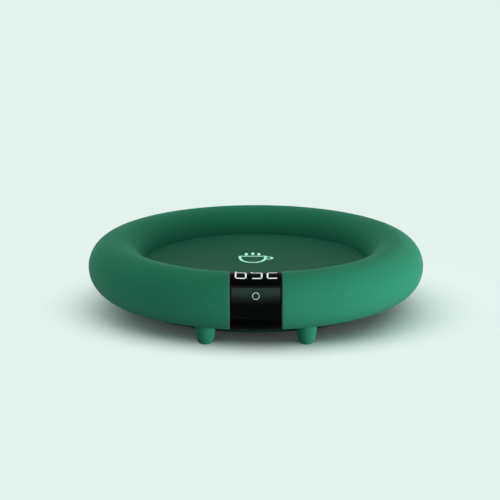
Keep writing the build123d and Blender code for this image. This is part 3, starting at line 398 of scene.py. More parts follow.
def build_foot(node, material):
    """A stub foot that narrows to a small flat tip."""
    low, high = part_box(node)
    radius = (high.x - low.x) / 2
    x, y = (low.x + high.x) / 2, (low.y + high.y) / 2
    points = []
    for row in range(FOOT_ROWS + 1):
        share = (row / FOOT_ROWS) ** 2
        size = radius * (FOOT_TIP + (1 - FOOT_TIP) * math.sin(math.pi / 2 * math.sqrt(share)))
        for i in range(FOOT_SIDES):
            turn = FULL_TURN * i / FOOT_SIDES
            points.append((x + size * math.cos(turn), y + size * math.sin(turn), low.z + FOOT_TAPER * share))
    points += [(px, py, high.z) for px, py, _ in points[-FOOT_SIDES:]]
    faces = wall_faces(FOOT_ROWS + 1, FOOT_SIDES)
    last = (FOOT_ROWS + 1) * FOOT_SIDES
    faces.append(tuple(range(FOOT_SIDES))[::-1])
    faces.append(tuple(range(last, last + FOOT_SIDES)))
    foot = new_piece(node + "_skin", points, faces, "foot_silicone", material)
    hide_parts(node)
    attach(foot, "warmer_body")


# ---------------------------------------------------------------- front panel
def seam_angle(level, x, radius):
    """Section angle at which the panel's face meets a plane across the key's line of travel."""
    angle = PRESS_TURN + math.asin(level / radius)
    for _ in range(SEAM_ROUNDS):
        out = RING + radius * math.cos(angle)
        lag = out - math.sqrt(out**2 - x**2)
        angle = PRESS_TURN + math.asin((level - lag * math.sin(PRESS_TURN)) / radius)
    return angle


def build_strip(name, slot, material, half_width, low_angle, high_angle):
    """A strip of the panel's skin with rounded edges; the edges' angles come from x and the radius."""
    radius = TUBE - PANEL_SINK
    edge = rounding(PANEL_ROUND)
    flat = half_width - PANEL_ROUND
    columns = [(-half_width + inset, depth) for inset, depth in edge[:-1]]
    columns += [(flat * (2 * i / PANEL_COLUMNS - 1), 0.0) for i in range(PANEL_COLUMNS + 1)]
    columns += [(half_width - inset, depth) for inset, depth in reversed(edge[:-1])]
    rows = [(0.0, inset, depth) for inset, depth in edge[:-1]]
    rows += [(i / PANEL_ROWS, PANEL_ROUND * (1 - 2 * i / PANEL_ROWS), 0.0) for i in range(PANEL_ROWS + 1)]
    rows += [(1.0, -inset, depth) for inset, depth in reversed(edge[:-1])]
    outer, inner = [], []
    for share, inset, depth in rows:
        for x, side_depth in columns:
            sunk = min(depth + side_depth, PANEL_WALL)
            for points, reach in ((outer, radius - sunk), (inner, TUBE - PANEL_WALL)):
                low, high = low_angle(x, reach), high_angle(x, reach)
                points.append(front_point(reach, low + (high - low) * share + inset / radius, x))
    wide, tall = len(columns), len(rows)
    faces = []
    for i in range(tall - 1):
        for j in range(wide - 1):
            quad = (i * wide + j, i * wide + j + 1, (i + 1) * wide + j + 1, (i + 1) * wide + j)
            faces.append(quad)
            faces.append(tuple(len(outer) + corner for corner in reversed(quad)))
    border = list(range(wide)) + [i * wide + wide - 1 for i in range(1, tall)]
    border += [(tall - 1) * wide + j for j in range(wide - 2, -1, -1)]
    border += [i * wide for i in range(tall - 2, 0, -1)]
    for i, corner in enumerate(border):
        after = border[(i + 1) % len(border)]
        faces.append((after, corner, len(outer) + corner, len(outer) + after))
    return new_piece(name, outer + inner, faces, slot, material)


def press_point(x, across, out):
    """A point from its place beside, across and along the key's line of travel."""
    sine, cosine = math.sin(PRESS_TURN), math.cos(PRESS_TURN)
    return Vector((x, -RING - out * cosine + across * sine, RING_Z + out * sine + across * cosine))


def rod(x, across, radius, tip, end):
    """Points and faces of a rod behind the key, chamfered at its tip."""
    stations = [(radius - ROD_CHAMFER, tip), (radius, tip + ROD_CHAMFER), (radius, end)]
    points = []
    for size, out in stations:
        for i in range(ROD_SIDES):
            turn = FULL_TURN * i / ROD_SIDES
            points.append(press_point(x + size * math.cos(turn), across + size * math.sin(turn), out))
    faces = wall_faces(len(stations) - 1, ROD_SIDES)
    faces.append(tuple(range(ROD_SIDES))[::-1])
    return points, faces


def build_rods(material):
    """The key's post and its two guide rods."""
    skin = TUBE - PANEL_WALL + ROD_OVERLAP
    guide_end = math.sqrt(skin**2 - GUIDE_DROP**2)
    rods = [rod(0.0, 0.0, POST_RADIUS, POST_TIP, skin)]
    for side in (-1, 1):
        rods.append(rod(side * GUIDE_SPREAD, -GUIDE_DROP, GUIDE_RADIUS, GUIDE_TIP, guide_end))
    piece = new_piece("key_rods", *merged(rods), "key_black", material)
    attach(piece, "power_key")


def build_panel(lens_material, key_material, shaded_chin_material):
    """The panel's three pieces: the lens over the digits, the press key and the chin; the chin's finish is a
    weaker-reflecting copy of the panel's gloss, painted shade.
    """
    lens = build_strip(
        "lens_skin", "panel_black", lens_material, PANEL_HALF,
        lambda x, reach: seam_angle(KEY_SEAM_LEVEL, x, reach), lambda x, reach: SLEEVE_WELL,
    )
    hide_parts("display_lens")
    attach(lens, "warmer_body")
    key = build_strip(
        "key_skin", "key_black", key_material, KEY_HALF,
        lambda x, reach: seam_angle(CHIN_SEAM_LEVEL + SEAM_GAP, x, reach),
        lambda x, reach: seam_angle(KEY_SEAM_LEVEL - SEAM_GAP, x, reach),
    )
    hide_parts("power_key")
    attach(key, "power_key")
    chin = build_strip(
        "chin_skin", "panel_black", shaded_chin_material, PANEL_HALF,
        lambda x, reach: SLEEVE_UNDER, lambda x, reach: seam_angle(CHIN_SEAM_LEVEL, x, reach),
    )
    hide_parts("panel_chin")
    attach(chin, "warmer_body")
    build_rods(key_material)


# ---------------------------------------------------------------- prints and lit bars
def strip_faces(count, closed):
    """Faces of a thin ribbon whose stations hold four points: left, right, and both sunk."""
    faces = []
    for i in range(count if closed else count - 1):
        a, b = 4 * i, 4 * ((i + 1) % count)
        faces += [(a, a + 1, b + 1, b), (a, b, b + 2, a + 2), (a + 1, a + 3, b + 3, b + 1)]
    return faces


def bar_stations(length):
    """Stations along a pointed bar: place along it and half its width there."""
    half, tip = length / 2, BAR_WIDTH / 2
    flat = half - tip
    middle = [(-flat + 2 * flat * i / BAR_STEPS, tip) for i in range(BAR_STEPS + 1)]
    return [(-half, BAR_TIP)] + middle + [(half, BAR_TIP)]


def bar(x, rise, length, along):
    """A lit bar on the lens, centred beside and above the digits' middle."""
    points = []
    for place, half in bar_stations(length):
        ends = []
        for side in (-1, 1):
            if along:
                ends.append((x + side * half, rise + place))
            else:
                ends.append((x + place, rise - side * half))
        for lift in (PRINT_LIFT, -PRINT_SINK):
            for end_x, end_rise in ends:
                angle = DIGIT_MIDDLE + end_rise / TUBE
                points.append(front_point(TUBE - PANEL_SINK + lift, angle, end_x))
    return points, strip_faces(len(points) // 4, False)


def digit_bars(letter, x):
    """The bars of one seven-bar character."""
    across = DIGIT_WIDTH - BAR_WIDTH - 2 * BAR_GAP
    tall = (DIGIT_HEIGHT - BAR_WIDTH) / 2 - 2 * BAR_GAP
    side, quarter = (DIGIT_WIDTH - BAR_WIDTH) / 2, (DIGIT_HEIGHT - BAR_WIDTH) / 4
    places = {
        "a": (x, 2 * quarter, across, False),
        "c": (x + side, -quarter, tall, True),
        "d": (x, -2 * quarter, across, False),
        "e": (x - side, -quarter, tall, True),
        "f": (x - side, quarter, tall, True),
        "g": (x, 0.0, across, False),
    }
    return [bar(*places[name]) for name in SEGMENTS[letter]]


def build_digits(material):
    """Three lit seven-bar characters on the lens."""
    bars = []
    for place, letter in enumerate(READOUT):
        x = (place - (len(READOUT) - 1) / 2) * DIGIT_PITCH + DIGIT_SHIFT
        bars += digit_bars(letter, x)
    digits = new_piece("lit_digits", *merged(bars), "digit_black", material)
    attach(digits, "warmer_body")


def build_mark(material):
    """The small ring printed on the key."""
    points = []
    for i in range(MARK_STEPS):
        turn = FULL_TURN * i / MARK_STEPS
        for lift in (PRINT_LIFT, -PRINT_SINK):
            for radius in (MARK_RADIUS - MARK_STROKE / 2, MARK_RADIUS + MARK_STROKE / 2):
                angle = MARK_ANGLE + radius * math.sin(turn) / TUBE
                points.append(front_point(TUBE - PANEL_SINK + lift, angle, radius * math.cos(turn)))
    mark = new_piece("key_mark", points, strip_faces(MARK_STEPS, True), "key_black", material)
    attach(mark, "power_key")


def flat_ribbon(path, width, lift, closed):
    """A thin printed line on the glass along a path of plan points, with rounded ends."""
    count = len(path)
    points = []
    for i, spot in enumerate(path):
        before = path[(i - 1) % count] if closed or i else spot
        after = path[(i + 1) % count] if closed or i < count - 1 else spot
        heading = (after - before).normalized()
        aside = Vector((-heading.y, heading.x)) * width / 2
        for height in (GLASS_TOP + lift, GLASS_TOP - ICON_LIFT):
            for side in (-1, 1):
                points.append(Vector((*(spot - side * aside), height)))
    faces = strip_faces(count, closed)
    if not closed:
        for end, heading in ((0, path[0] - path[1]), (count - 1, path[-1] - path[-2])):
            start = math.atan2(heading.y, heading.x)
            fan = [4 * end, 4 * end + 1] if end else [4 * end + 1, 4 * end]
            for step in range(1, STROKE_END_STEPS):
                turn = start + math.pi / 2 - math.pi * (STROKE_END_STEPS - step) / STROKE_END_STEPS
                spot = path[end] + Vector((math.cos(turn), math.sin(turn))) * width / 2
                fan.append(len(points))
                points.append(Vector((*spot, GLASS_TOP + lift)))
            faces.append(tuple(fan))
    return points, faces


def bowl_outline():
    """Plan points round the cup: a full rounded bowl below, and the straight rim back across."""
    power = 2 / CUP_FULLNESS
    outline = []
    for i in range(1, CUP_STEPS):
        turn = math.pi * i / CUP_STEPS
        across = math.copysign(abs(math.cos(turn)) ** power, -math.cos(turn))
        y = CUP_RIM - CUP_DEPTH * math.sin(turn) ** power
        outline.append(Vector((CUP_MIDDLE + CUP_HALF * across, y)))
    for side, first in ((1, 0), (-1, 90)):
        for step in range(CUP_CORNER_STEPS + 1):
            turn = math.radians(first + 90 * step / CUP_CORNER_STEPS)
            x = CUP_MIDDLE + side * (CUP_HALF - CUP_CORNER) + CUP_CORNER * math.cos(turn)
            outline.append(Vector((x, CUP_RIM - CUP_CORNER * (1 - math.sin(turn)))))
    return outline


def handle_path():
    """Plan points along the cup's handle, from its top round to its foot."""
    path = []
    for i in range(HANDLE_STEPS + 1):
        turn = math.radians(HANDLE_DEGREES / 2 - HANDLE_DEGREES * i / HANDLE_STEPS)
        x = HANDLE_CENTRE[0] + HANDLE_RADIUS * math.cos(turn)
        y = HANDLE_CENTRE[1] + HANDLE_RADIUS * math.sin(turn)
        path.append(Vector((x, y)))
    return path


def build_icon(material):
    """A plain steaming cup printed on the glass."""
    lines = [(bowl_outline(), ICON_STROKE, True), (handle_path(), HANDLE_STROKE, False)]
    rises = [STEAM_LENGTH * (i / STEAM_STEPS - 0.5) for i in range(STEAM_STEPS + 1)]
    for x, y in STEAM_PLACES:
        lines.append(([Vector((x, y + rise)) for rise in rises], STEAM_STROKE, False))
    ribbons = []
    for layer, (path, width, closed) in enumerate(lines):
        ribbons.append(flat_ribbon(path, width, ICON_LIFT - layer * ICON_LAYER, closed))
    icon = new_piece("cup_print", *merged(ribbons), "plate_glass", material)
    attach(icon, "warmer_body")


def build_contacts(material):
    """Gilt contact strips on both faces of the socket's tongue."""
    points, faces = [], []
    spread = tongue_high.x - tongue_low.x - 2 * CONTACT_MARGIN
    pitch = spread / CONTACT_COUNT
    stations = (
        (tongue_low.y, CONTACT_END_LIFT),
        (tongue_high.y - 2 * CONTACT_MARGIN, CONTACT_LIFT),
        (tongue_high.y - CONTACT_MARGIN, CONTACT_END_LIFT),
    )
    for face_z, side in ((tongue_high.z, 1), (tongue_low.z, -1)):
        for i in range(CONTACT_COUNT):
            middle = tongue_low.x + CONTACT_MARGIN + pitch * (i + 0.5)
            count = len(points)
            for y, lift in stations:
                for x in (middle - CONTACT_WIDTH / 2, middle + CONTACT_WIDTH / 2):
                    points.append(Vector((x, y, face_z + side * lift)))
            faces.append((count, count + 1, count + 3, count + 2))
            faces.append((count + 2, count + 3, count + 5, count + 4))
    strips = new_piece("contact_strips", points, faces, "socket_steel", material)
    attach(strips, "warmer_body")


# ---------------------------------------------------------------- materials
class Finish:
    """A node-based material on the object's own coordinates."""

    def __init__(self, name, colour, roughness, metallic=0.0, specular=0.5):
        self.material = bpy.data.materials.new(name)
        self.material.use_nodes = True
        self.material.diffuse_color = (*colour, 1.0)
        self.tree = self.material.node_tree
        self.shader = self.tree.nodes["Principled BSDF"]
        self.shader.inputs["Metallic"].default_value = metallic
        self.shader.inputs["Specular IOR Level"].default_value = specular
        self.colour = colour
        self.set("Base Color", (*colour, 1.0))
        self.set("Roughness", roughness)
        self.place = self.tree.nodes.new("ShaderNodeTexCoord").outputs["Object"]

    def set(self, name, value):
        """A constant on the shader's own socket."""
        self.shader.inputs[name].default_value = value

    def link(self, source, target):
        """A link between two sockets."""
        self.tree.links.new(source, target)

    def stretched(self, scale):
        """The place, scaled separately along each axis."""
        mapping = self.tree.nodes.new("ShaderNodeMapping")
        mapping.inputs["Scale"].default_value = scale
        self.link(self.place, mapping.inputs["Vector"])
        return mapping.outputs["Vector"]

    def noise(self, size, detail=2.0, place=None):
        """Noise whose features are about one size across, in metres."""
        noise = self.tree.nodes.new("ShaderNodeTexNoise")
        noise.inputs["Scale"].default_value = 1 / size
        noise.inputs["Detail"].default_value = detail
        self.link(place or self.place, noise.inputs["Vector"])
        return noise.outputs["Fac"]

    def cells(self, size):
        """Distance to the nearest of scattered points, about one size apart in metres."""
        cells = self.tree.nodes.new("ShaderNodeTexVoronoi")
        cells.inputs["Scale"].default_value = 1 / size
        self.link(self.place, cells.inputs["Vector"])
        return cells.outputs["Distance"]

    def remap(self, value, low, high, to_low, to_high):
        """A value carried from one range to another, and held there."""
        return ramp_node(self.tree, value, low, high, to_low, to_high, smooth=False)

    def contrast(self, value):
        """A noise's values spread over the whole range from 0 to 1."""
        return self.remap(value, NOISE_LOW, NOISE_HIGH, 0, 1)

    def tint(self, value, first, second):
        """A colour between two, by a value from 0 to 1."""
        mix = self.tree.nodes.new("ShaderNodeMix")
        mix.data_type = "RGBA"
        mix.inputs["A"].default_value = (*first, 1.0)
        mix.inputs["B"].default_value = (*second, 1.0)
        self.link(value, mix.inputs["Factor"])
        return mix.outputs["Result"]

    def colour_by(self, value, spread):
        """Base colour that wanders by a share either side of the finish's colour."""
        darker = [channel * (1 - spread) for channel in self.colour]
        lighter = [min(channel * (1 + spread), 1.0) for channel in self.colour]
        self.link(self.tint(value, darker, lighter), self.shader.inputs["Base Color"])

    def paint_rim_highlight(self, rim_highlight_colour):
        """Painted highlight: a paler, greyer line in the base colour beside the panel, in place of light caught on
        the sleeve's rounded rim.
        """
        split = self.tree.nodes.new("ShaderNodeSeparateXYZ")
        self.link(self.place, split.inputs["Vector"])
        aside = math_node(self.tree, "ABSOLUTE", split.outputs["X"], 0.0)
        full, end = PANEL_HALF + RIM_HIGHLIGHT_FULL, PANEL_HALF + RIM_HIGHLIGHT_END
        edge = ramp_node(self.tree, aside, full, end, 1.0, 0.0)
        front = math_node(self.tree, "LESS_THAN", split.outputs["Y"], -RING / 2)
        mix = self.tree.nodes.new("ShaderNodeMix")
        mix.data_type = "RGBA"
        self.link(math_node(self.tree, "MULTIPLY", edge, front), mix.inputs["Factor"])
        self.link(self.shader.inputs["Base Color"].links[0].from_socket, mix.inputs["A"])
        mix.inputs["B"].default_value = (*rim_highlight_colour, 1.0)
        self.link(mix.outputs["Result"], self.shader.inputs["Base Color"])

    def roughness_by(self, value, low, high):
        """Roughness that wanders between two values with a noise."""
        self.link(self.remap(value, NOISE_LOW, NOISE_HIGH, low, high), self.shader.inputs["Roughness"])

    def bump(self, height, depth, strength, under=None):
        """Relief of a true depth in metres, over the relief below it."""
        bump = self.tree.nodes.new("ShaderNodeBump")
        bump.inputs["Distance"].default_value = depth
        bump.inputs["Strength"].default_value = strength
        self.link(height, bump.inputs["Height"])
        if under:
            self.link(under, bump.inputs["Normal"])
        self.link(bump.outputs["Normal"], self.shader.inputs["Normal"])
        return bump.outputs["Normal"]


def silicone(name, colour, rim_highlight_colour=None):
    """Soft-touch silicone: a pale bloom at grazing angles, a fine matt skin, faint handling marks and, given a rim
    colour, a painted highlight beside the panel.
    """
    finish = Finish(name, colour, roughness=0.62, specular=0.04)
    finish.set("Sheen Weight", 0.006)
    finish.set("Sheen Roughness", 0.42)
    finish.set("Sheen Tint", (0.72, 0.95, 0.86, 1.0))
    finish.colour_by(finish.contrast(finish.noise(size=38 * MM, detail=4)), spread=0.05)
    # painted highlight: with a rim colour, a paler line beside the panel stands in for light on the rounded rim
    if rim_highlight_colour:
        finish.paint_rim_highlight(rim_highlight_colour)
    finish.roughness_by(finish.noise(size=9 * MM, detail=3), low=0.58, high=0.66)
    waves = finish.bump(finish.noise(size=24 * MM, detail=1), depth=0.02 * MM, strength=0.5)
    finish.bump(finish.noise(size=0.16 * MM), depth=0.004 * MM, strength=0.6, under=waves)
    return finish.material


def gloss_plastic(name, colour, roughness, specular):
    """Polished plastic with faint hairline polishing marks."""
    finish = Finish(name, colour, roughness, specular=specular)
    hairs = finish.noise(size=0.4 * MM, place=finish.stretched((0.12, 1.0, 1.0)))
    finish.roughness_by(hairs, low=roughness * 0.8, high=roughness * 1.5)
    finish.colour_by(finish.noise(size=6 * MM), spread=0.1)
    finish.bump(finish.noise(size=7 * MM, detail=1), depth=0.002 * MM, strength=0.1)
    return finish.material


def matte_plastic(name, colour, roughness=0.5, grain=0.22 * MM, specular=0.5):
    """Moulded plastic with a spark-eroded grain."""
    finish = Finish(name, colour, roughness, specular=specular)
    finish.colour_by(finish.noise(size=11 * MM, detail=3), spread=0.1)
    finish.roughness_by(finish.noise(size=3 * MM), low=roughness - 0.07, high=roughness + 0.07)
    finish.bump(finish.cells(size=grain), depth=0.012 * MM, strength=0.8)
    return finish.material


def metal(name, colour, roughness, stretch=(1.0, 0.04, 1.0)):
    """Rolled or drawn metal with fine lines along one way and faint stains."""
    finish = Finish(name, colour, roughness, metallic=1.0)
    lines = finish.noise(size=0.12 * MM, detail=3, place=finish.stretched(stretch))
    finish.colour_by(finish.noise(size=5 * MM, detail=3), spread=0.08)
    finish.roughness_by(lines, low=roughness * 0.7, high=roughness * 1.4)
    finish.bump(lines, depth=0.003 * MM, strength=0.5)
    return finish.material


def satin_glass(name, colour):
    """Toughened glass with a fine etched face over a dark green back."""
    finish = Finish(name, colour, roughness=0.42, specular=0.01)
    finish.colour_by(finish.contrast(finish.noise(size=30 * MM, detail=3)), spread=0.05)
    finish.roughness_by(finish.noise(size=14 * MM, detail=3), low=0.36, high=0.44)
    finish.bump(finish.cells(size=0.09 * MM), depth=0.0015 * MM, strength=0.5)
    return finish.material


def print_ink(name, colour):
    """Printed ink with a slightly uneven, grainy surface."""
    finish = Finish(name, colour, roughness=0.55)
    finish.colour_by(finish.noise(size=0.25 * MM, detail=3), spread=0.08)
    finish.roughness_by(finish.noise(size=0.5 * MM), low=0.48, high=0.62)
    finish.bump(finish.noise(size=0.12 * MM), depth=0.003 * MM, strength=0.5)
    return finish.material


def lit_window(name, colour, strength):
    """A lit bar behind its diffuser, a touch uneven."""
    finish = Finish(name, DIFFUSER_BODY, roughness=0.3)
    dim = [channel * DIFFUSER_DIM for channel in colour]
    glow = finish.tint(finish.contrast(finish.noise(size=0.5 * MM)), dim, colour)
    finish.link(glow, finish.shader.inputs["Emission Color"])
    finish.set("Emission Strength", strength)
    finish.roughness_by(finish.noise(size=1 * MM), low=0.25, high=0.35)
    return finish.material


def laminate(name, colour):
    """Solder-masked board with the copper tracks showing through the mask."""
    finish = Finish(name, colour, roughness=0.32)
    brick = finish.tree.nodes.new("ShaderNodeTexBrick")
    brick.inputs["Scale"].default_value = TRACK_SCALE
    brick.inputs["Mortar Size"].default_value = TRACK_WIDTH
    finish.link(finish.place, brick.inputs["Vector"])
    tracks = finish.tint(brick.outputs["Fac"], colour, [channel * TRACK_GAIN for channel in colour])
    finish.link(tracks, finish.shader.inputs["Base Color"])
    finish.roughness_by(finish.noise(size=2 * MM), low=0.28, high=0.4)
    finish.bump(brick.outputs["Fac"], depth=0.03 * MM, strength=0.7)
    return finish.material


def felt(name, colour):
    """Pressed mineral felt with matted fibres."""
    finish = Finish(name, colour, roughness=0.95, specular=0.1)
    fibres = finish.noise(size=0.6 * MM, detail=6, place=finish.stretched((1.0, 0.3, 2.0)))
    finish.colour_by(finish.contrast(fibres), spread=0.22)
    finish.bump(fibres, depth=0.12 * MM, strength=0.9)
    finish.set("Sheen Weight", 0.3)
    return finish.material


def amber_film(name, colour):
    """Heater film with its etched element showing as darker bands."""
    finish = Finish(name, colour, roughness=0.28)
    wave = finish.tree.nodes.new("ShaderNodeTexWave")
    wave.wave_type = "RINGS"
    wave.rings_direction = "Z"
    wave.inputs["Scale"].default_value = BAND_SCALE
    finish.link(finish.place, wave.inputs["Vector"])
    bands = finish.remap(wave.outputs["Fac"], BAND_EDGE_LOW, BAND_EDGE_HIGH, 0, 1)
    banded = finish.tint(bands, colour, [channel * BAND_SHADE for channel in colour])
    finish.link(banded, finish.shader.inputs["Base Color"])
    finish.roughness_by(finish.noise(size=4 * MM), low=0.24, high=0.34)
    return finish.material


def make_finishes():
    """One finish for each material slot of the record."""
    panel_black, base_green = (0.0006, 0.001, 0.0009), (0.0015, 0.017, 0.01)
    epoxy_black = (0.02, 0.02, 0.022)
    along_z = (1.0, 1.0, 0.1)
    return {
        # the sleeve's finish carries a painted highlight along its rim beside the panel
        "sleeve_silicone": silicone("sleeve_silicone_finish", SILICONE_GREEN, SILICONE_RIM_HIGHLIGHT),
        "foot_silicone": silicone("foot_silicone_finish", SILICONE_GREEN),
        "plate_glass": satin_glass("plate_glass_finish", (0.0112, 0.064, 0.039)),
        "panel_black": gloss_plastic("panel_black_finish", panel_black, roughness=0.05, specular=0.011),
        "key_black": gloss_plastic("key_black_finish", KEY_BLACK, roughness=0.06, specular=0.026),
        "base_plastic": matte_plastic("base_plastic_finish", base_green, roughness=0.6, specular=0.05),
        "housing_plastic": matte_plastic("housing_plastic_finish", (0.03, 0.035, 0.034)),
        "bracket_plastic": matte_plastic("bracket_plastic_finish", (0.01, 0.01, 0.011)),
        "inlet_plastic": matte_plastic("inlet_plastic_finish", (0.012, 0.012, 0.013), roughness=0.42),
        "gasket_silicone": matte_plastic("gasket_silicone_finish", (0.16, 0.16, 0.15), 0.7, grain=0.5 * MM),
        "spreader_aluminium": metal("spreader_aluminium_finish", (0.72, 0.73, 0.74), roughness=0.3),
        "film_polyimide": amber_film("film_polyimide_finish", (0.45, 0.16, 0.02)),
        "pad_felt": felt("pad_felt_finish", (0.62, 0.6, 0.55)),
        "carrier_steel": metal("carrier_steel_finish", (0.55, 0.56, 0.57), roughness=0.35),
        "screw_steel": metal("screw_steel_finish", (0.42, 0.43, 0.44), roughness=0.3, stretch=along_z),
        "socket_steel": metal("socket_steel_finish", (0.6, 0.61, 0.62), roughness=0.25),
        "sensor_epoxy": gloss_plastic("sensor_epoxy_finish", epoxy_black, roughness=0.2, specular=0.5),
        "fuse_body": matte_plastic("fuse_body_finish", (0.7, 0.68, 0.6), roughness=0.4),
        "board_laminate": laminate("board_laminate_finish", (0.015, 0.12, 0.045)),
        "chip_black": matte_plastic("chip_black_finish", (0.015, 0.015, 0.016), 0.6, grain=0.1 * MM),
        "terminal_nylon": matte_plastic("terminal_nylon_finish", (0.75, 0.73, 0.66), roughness=0.45),
        "switch_plastic": matte_plastic("switch_plastic_finish", (0.02, 0.02, 0.02), roughness=0.45),
        "plunger_plastic": matte_plastic("plunger_plastic_finish", (0.75, 0.75, 0.72), roughness=0.4),
        "digit_black": matte_plastic("digit_black_finish", (0.01, 0.01, 0.01), roughness=0.7),
        "lead_red": silicone("lead_red_finish", (0.45, 0.02, 0.02)),
        "ribbon_white": matte_plastic("ribbon_white_finish", (0.75, 0.75, 0.75), grain=0.6 * MM),
    }


def dress_nodes(finishes):
    """Gives every node that still shows its finish and smooth shading."""
    slots = {row["node"]: row["material_slot"] for row in frame["record"]["subparts"]}
    for name, node in frame["nodes"].items():
        node.data.materials.clear()
        node.data.materials.append(finishes[slots[name]])
        shade(node, NODE_SHARP_TURN)


# ---------------------------------------------------------------- floor, light and camera
def seen_directly(tree):
    """1 for a ray from the camera, a gloss or a clear material, otherwise 0."""
    path = tree.nodes.new("ShaderNodeLightPath").outputs
    total = math_node(tree, "ADD", path["Is Camera Ray"], path["Is Glossy Ray"])
    total = math_node(tree, "ADD", total, path["Is Transmission Ray"])
    return math_node(tree, "MINIMUM", total, 1.0)


def math_node(tree, operation, first, second):
    """A Math node on two values or links."""
    node = tree.nodes.new("ShaderNodeMath")
    node.operation = operation
    for socket, value in zip(node.inputs, (first, second)):
        if isinstance(value, (int, float)):
            socket.default_value = value
        else:
            tree.links.new(value, socket)
    return node.outputs[0]


def vector_node(tree, operation, vector, other=(0.0, 0.0, 0.0)):
    """A Vector Math node on a link and a constant."""
    node = tree.nodes.new("ShaderNodeVectorMath")
    node.operation = operation
    tree.links.new(vector, node.inputs[0])
    node.inputs[1].default_value = other
    return node.outputs


def ramp_node(tree, value, low, high, to_low=0.0, to_high=1.0, smooth=True):
    """A smooth or straight step between two values."""
    node = tree.nodes.new("ShaderNodeMapRange")
    node.interpolation_type = "SMOOTHSTEP" if smooth else "LINEAR"
    for name, number in (("From Min", low), ("From Max", high), ("To Min", to_low), ("To Max", to_high)):
        node.inputs[name].default_value = number
    tree.links.new(value, node.inputs["Value"])
    return node.outputs["Result"]


def build_floor():
    """Pale floor that keeps the object's shadow and turns into the plain backdrop farther out."""
    half = FLOOR_SIZE / 2
    corners = [(-half, -half, 0), (half, -half, 0), (half, half, 0), (-half, half, 0)]
    floor = mesh_object("floor", corners, [(0, 1, 2, 3)])
    material = bpy.data.materials.new("floor_finish")
    material.use_nodes = True
    tree = material.node_tree
    tree.nodes.clear()
    diffuse = tree.nodes.new("ShaderNodeBsdfDiffuse")
    diffuse.inputs["Color"].default_value = FLOOR_COLOUR
    glow = tree.nodes.new("ShaderNodeEmission")
    glow.inputs["Color"].default_value = BACKDROP
    place = tree.nodes.new("ShaderNodeTexCoord").outputs["Object"]
    shifted = vector_node(tree, "ADD", place, FLOOR_SHIFT)["Vector"]
    stretched = vector_node(tree, "MULTIPLY", shifted, FLOOR_STRETCH)["Vector"]
    reach = vector_node(tree, "LENGTH", stretched)["Value"]
    far = ramp_node(tree, reach, FLOOR_NEAR, FLOOR_FAR)
    mix = tree.nodes.new("ShaderNodeMixShader")
    tree.links.new(math_node(tree, "MULTIPLY", far, seen_directly(tree)), mix.inputs["Fac"])
    tree.links.new(diffuse.outputs["BSDF"], mix.inputs[1])
    tree.links.new(glow.outputs["Emission"], mix.inputs[2])
    output = tree.nodes.new("ShaderNodeOutputMaterial")
    tree.links.new(mix.outputs["Shader"], output.inputs["Surface"])
    floor.data.materials.append(material)


def background_node(tree, colour, strength=1.0):
    """A Background shader of one colour and strength."""
    node = tree.nodes.new("ShaderNodeBackground")
    node.inputs["Color"].default_value = colour
    node.inputs["Strength"].default_value = strength
    return node


def build_world():
    """Even sky and the plain backdrop, and a graded softbox above the front that only gloss shows."""
    world = bpy.data.worlds.new("studio")
    bpy.context.scene.world = world
    world.use_nodes = True
    tree = world.node_tree
    tree.nodes.clear()
    place = tree.nodes.new("ShaderNodeTexCoord")
    split = tree.nodes.new("ShaderNodeSeparateXYZ")
    tree.links.new(place.outputs["Generated"], split.inputs["Vector"])
    height = split.outputs["Z"]
    rising = ramp_node(tree, height, SOFTBOX_LOW, SOFTBOX_FULL, smooth=False)
    rising = math_node(tree, "POWER", rising, SOFTBOX_CURVE)
    below_top = math_node(tree, "LESS_THAN", height, SOFTBOX_TOP)
    forward = math_node(tree, "MULTIPLY", split.outputs["Y"], -1.0)
    ahead = ramp_node(tree, forward, SOFTBOX_AHEAD_LOW, SOFTBOX_AHEAD_FULL)
    sideways = math_node(tree, "ABSOLUTE", split.outputs["X"], 0.0)
    between_sides = ramp_node(tree, sideways, SOFTBOX_HALF, SOFTBOX_FADE, 1.0, 0.0)
    upright = math_node(tree, "MULTIPLY", rising, below_top)
    level = math_node(tree, "MULTIPLY", ahead, between_sides)
    softbox = math_node(tree, "MULTIPLY", upright, level)
    sky = background_node(tree, SKY, SKY_STRENGTH)
    backdrop = background_node(tree, BACKDROP)
    lamp = background_node(tree, SOFTBOX_COLOUR)
    glossy_ray = tree.nodes.new("ShaderNodeLightPath").outputs["Is Glossy Ray"]
    strength = math_node(tree, "MULTIPLY", softbox, SOFTBOX_STRENGTH)
    tree.links.new(math_node(tree, "MULTIPLY", strength, glossy_ray), lamp.inputs["Strength"])
    mix = tree.nodes.new("ShaderNodeMixShader")
    tree.links.new(seen_directly(tree), mix.inputs["Fac"])
    tree.links.new(sky.outputs[0], mix.inputs[1])
    tree.links.new(backdrop.outputs[0], mix.inputs[2])
    total = tree.nodes.new("ShaderNodeAddShader")
    tree.links.new(mix.outputs[0], total.inputs[0])
    tree.links.new(lamp.outputs[0], total.inputs[1])
    output = tree.nodes.new("ShaderNodeOutputWorld")
    tree.links.new(total.outputs[0], output.inputs["Surface"])


def build_light(name, place, power, size):
    """A rectangular softbox that faces the ring and isn't mirrored in any gloss."""
    data = bpy.data.lights.new(name, "AREA")
    data.shape = "RECTANGLE"
    data.size, data.size_y = size
    data.energy = power
    light = bpy.data.objects.new(name, data)
    bpy.context.scene.collection.objects.link(light)
    light.location = place
    light.visible_camera = False
    light.visible_glossy = False
    towards = Vector((0, 0, RING_Z)) - place
    light.rotation_mode = "QUATERNION"
    light.rotation_quaternion = towards.to_track_quat("-Z", "Y")


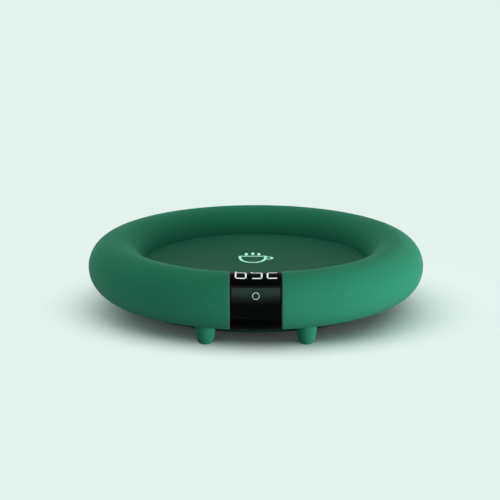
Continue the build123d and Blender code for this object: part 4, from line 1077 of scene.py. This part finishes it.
def low_light_place(bearing):
    """The place of a low strip light at a bearing round the ring."""
    across = LOW_LIGHT_DISTANCE * math.sin(bearing)
    along = LOW_LIGHT_DISTANCE * math.cos(bearing)
    return Vector((across, -along, LOW_LIGHT_HEIGHT))


def build_camera():
    """The camera at the photograph's angle, aimed at the ring's centre."""
    data = bpy.data.cameras.new("camera")
    data.lens = CAMERA_LENS
    data.sensor_width = CAMERA_SENSOR
    middle = IMAGE_SIZE / 2
    data.shift_x = (middle - RING_CENTRE_PIXEL[0]) / IMAGE_SIZE
    data.shift_y = (RING_CENTRE_PIXEL[1] - middle) / IMAGE_SIZE
    data.clip_start, data.clip_end = CAMERA_CLIP
    camera = bpy.data.objects.new("camera", data)
    bpy.context.scene.collection.objects.link(camera)
    back = Vector((0, -math.cos(CAMERA_ELEVATION), math.sin(CAMERA_ELEVATION)))
    camera.location = Vector((0, 0, RING_Z)) + back * CAMERA_DISTANCE
    camera.rotation_mode = "QUATERNION"
    camera.rotation_quaternion = (-back).to_track_quat("-Z", "Y")
    bpy.context.scene.camera = camera


# ---------------------------------------------------------------- build
finishes = make_finishes()
dress_nodes(finishes)
build_sleeve(finishes["sleeve_silicone"])
for foot_node in FEET:
    build_foot(foot_node, finishes["foot_silicone"])
# painted shade: the chin gets a copy of the panel's black gloss with a weaker reflection, so that it renders
# darker, standing in for the shaded floor that it mirrors
shaded_chin_finish = gloss_plastic("panel_chin_shaded_finish", KEY_BLACK, roughness=0.08, specular=0.005)
build_panel(finishes["panel_black"], finishes["key_black"], shaded_chin_finish)
build_digits(lit_window("lit_bar_finish", (0.86, 1.0, 0.94), strength=0.86))
build_mark(print_ink("key_mark_finish", (0.2, 0.24, 0.225)))
build_icon(print_ink("cup_print_finish", (0.42, 0.8, 0.63)))
build_contacts(metal("contact_gilt_finish", (0.83, 0.6, 0.25), roughness=0.25))

build_floor()
build_world()
build_light("key_softbox", low_light_place(KEY_LIGHT_BEARING), KEY_LIGHT_POWER, LOW_LIGHT_SIZE)
build_light("fill_softbox", low_light_place(FILL_LIGHT_BEARING), FILL_LIGHT_POWER, LOW_LIGHT_SIZE)
build_light("top_softbox", Vector(TOP_LIGHT_PLACE), TOP_LIGHT_POWER, TOP_LIGHT_SIZE)
build_camera()

bpy.context.scene.view_settings.view_transform = "Standard"
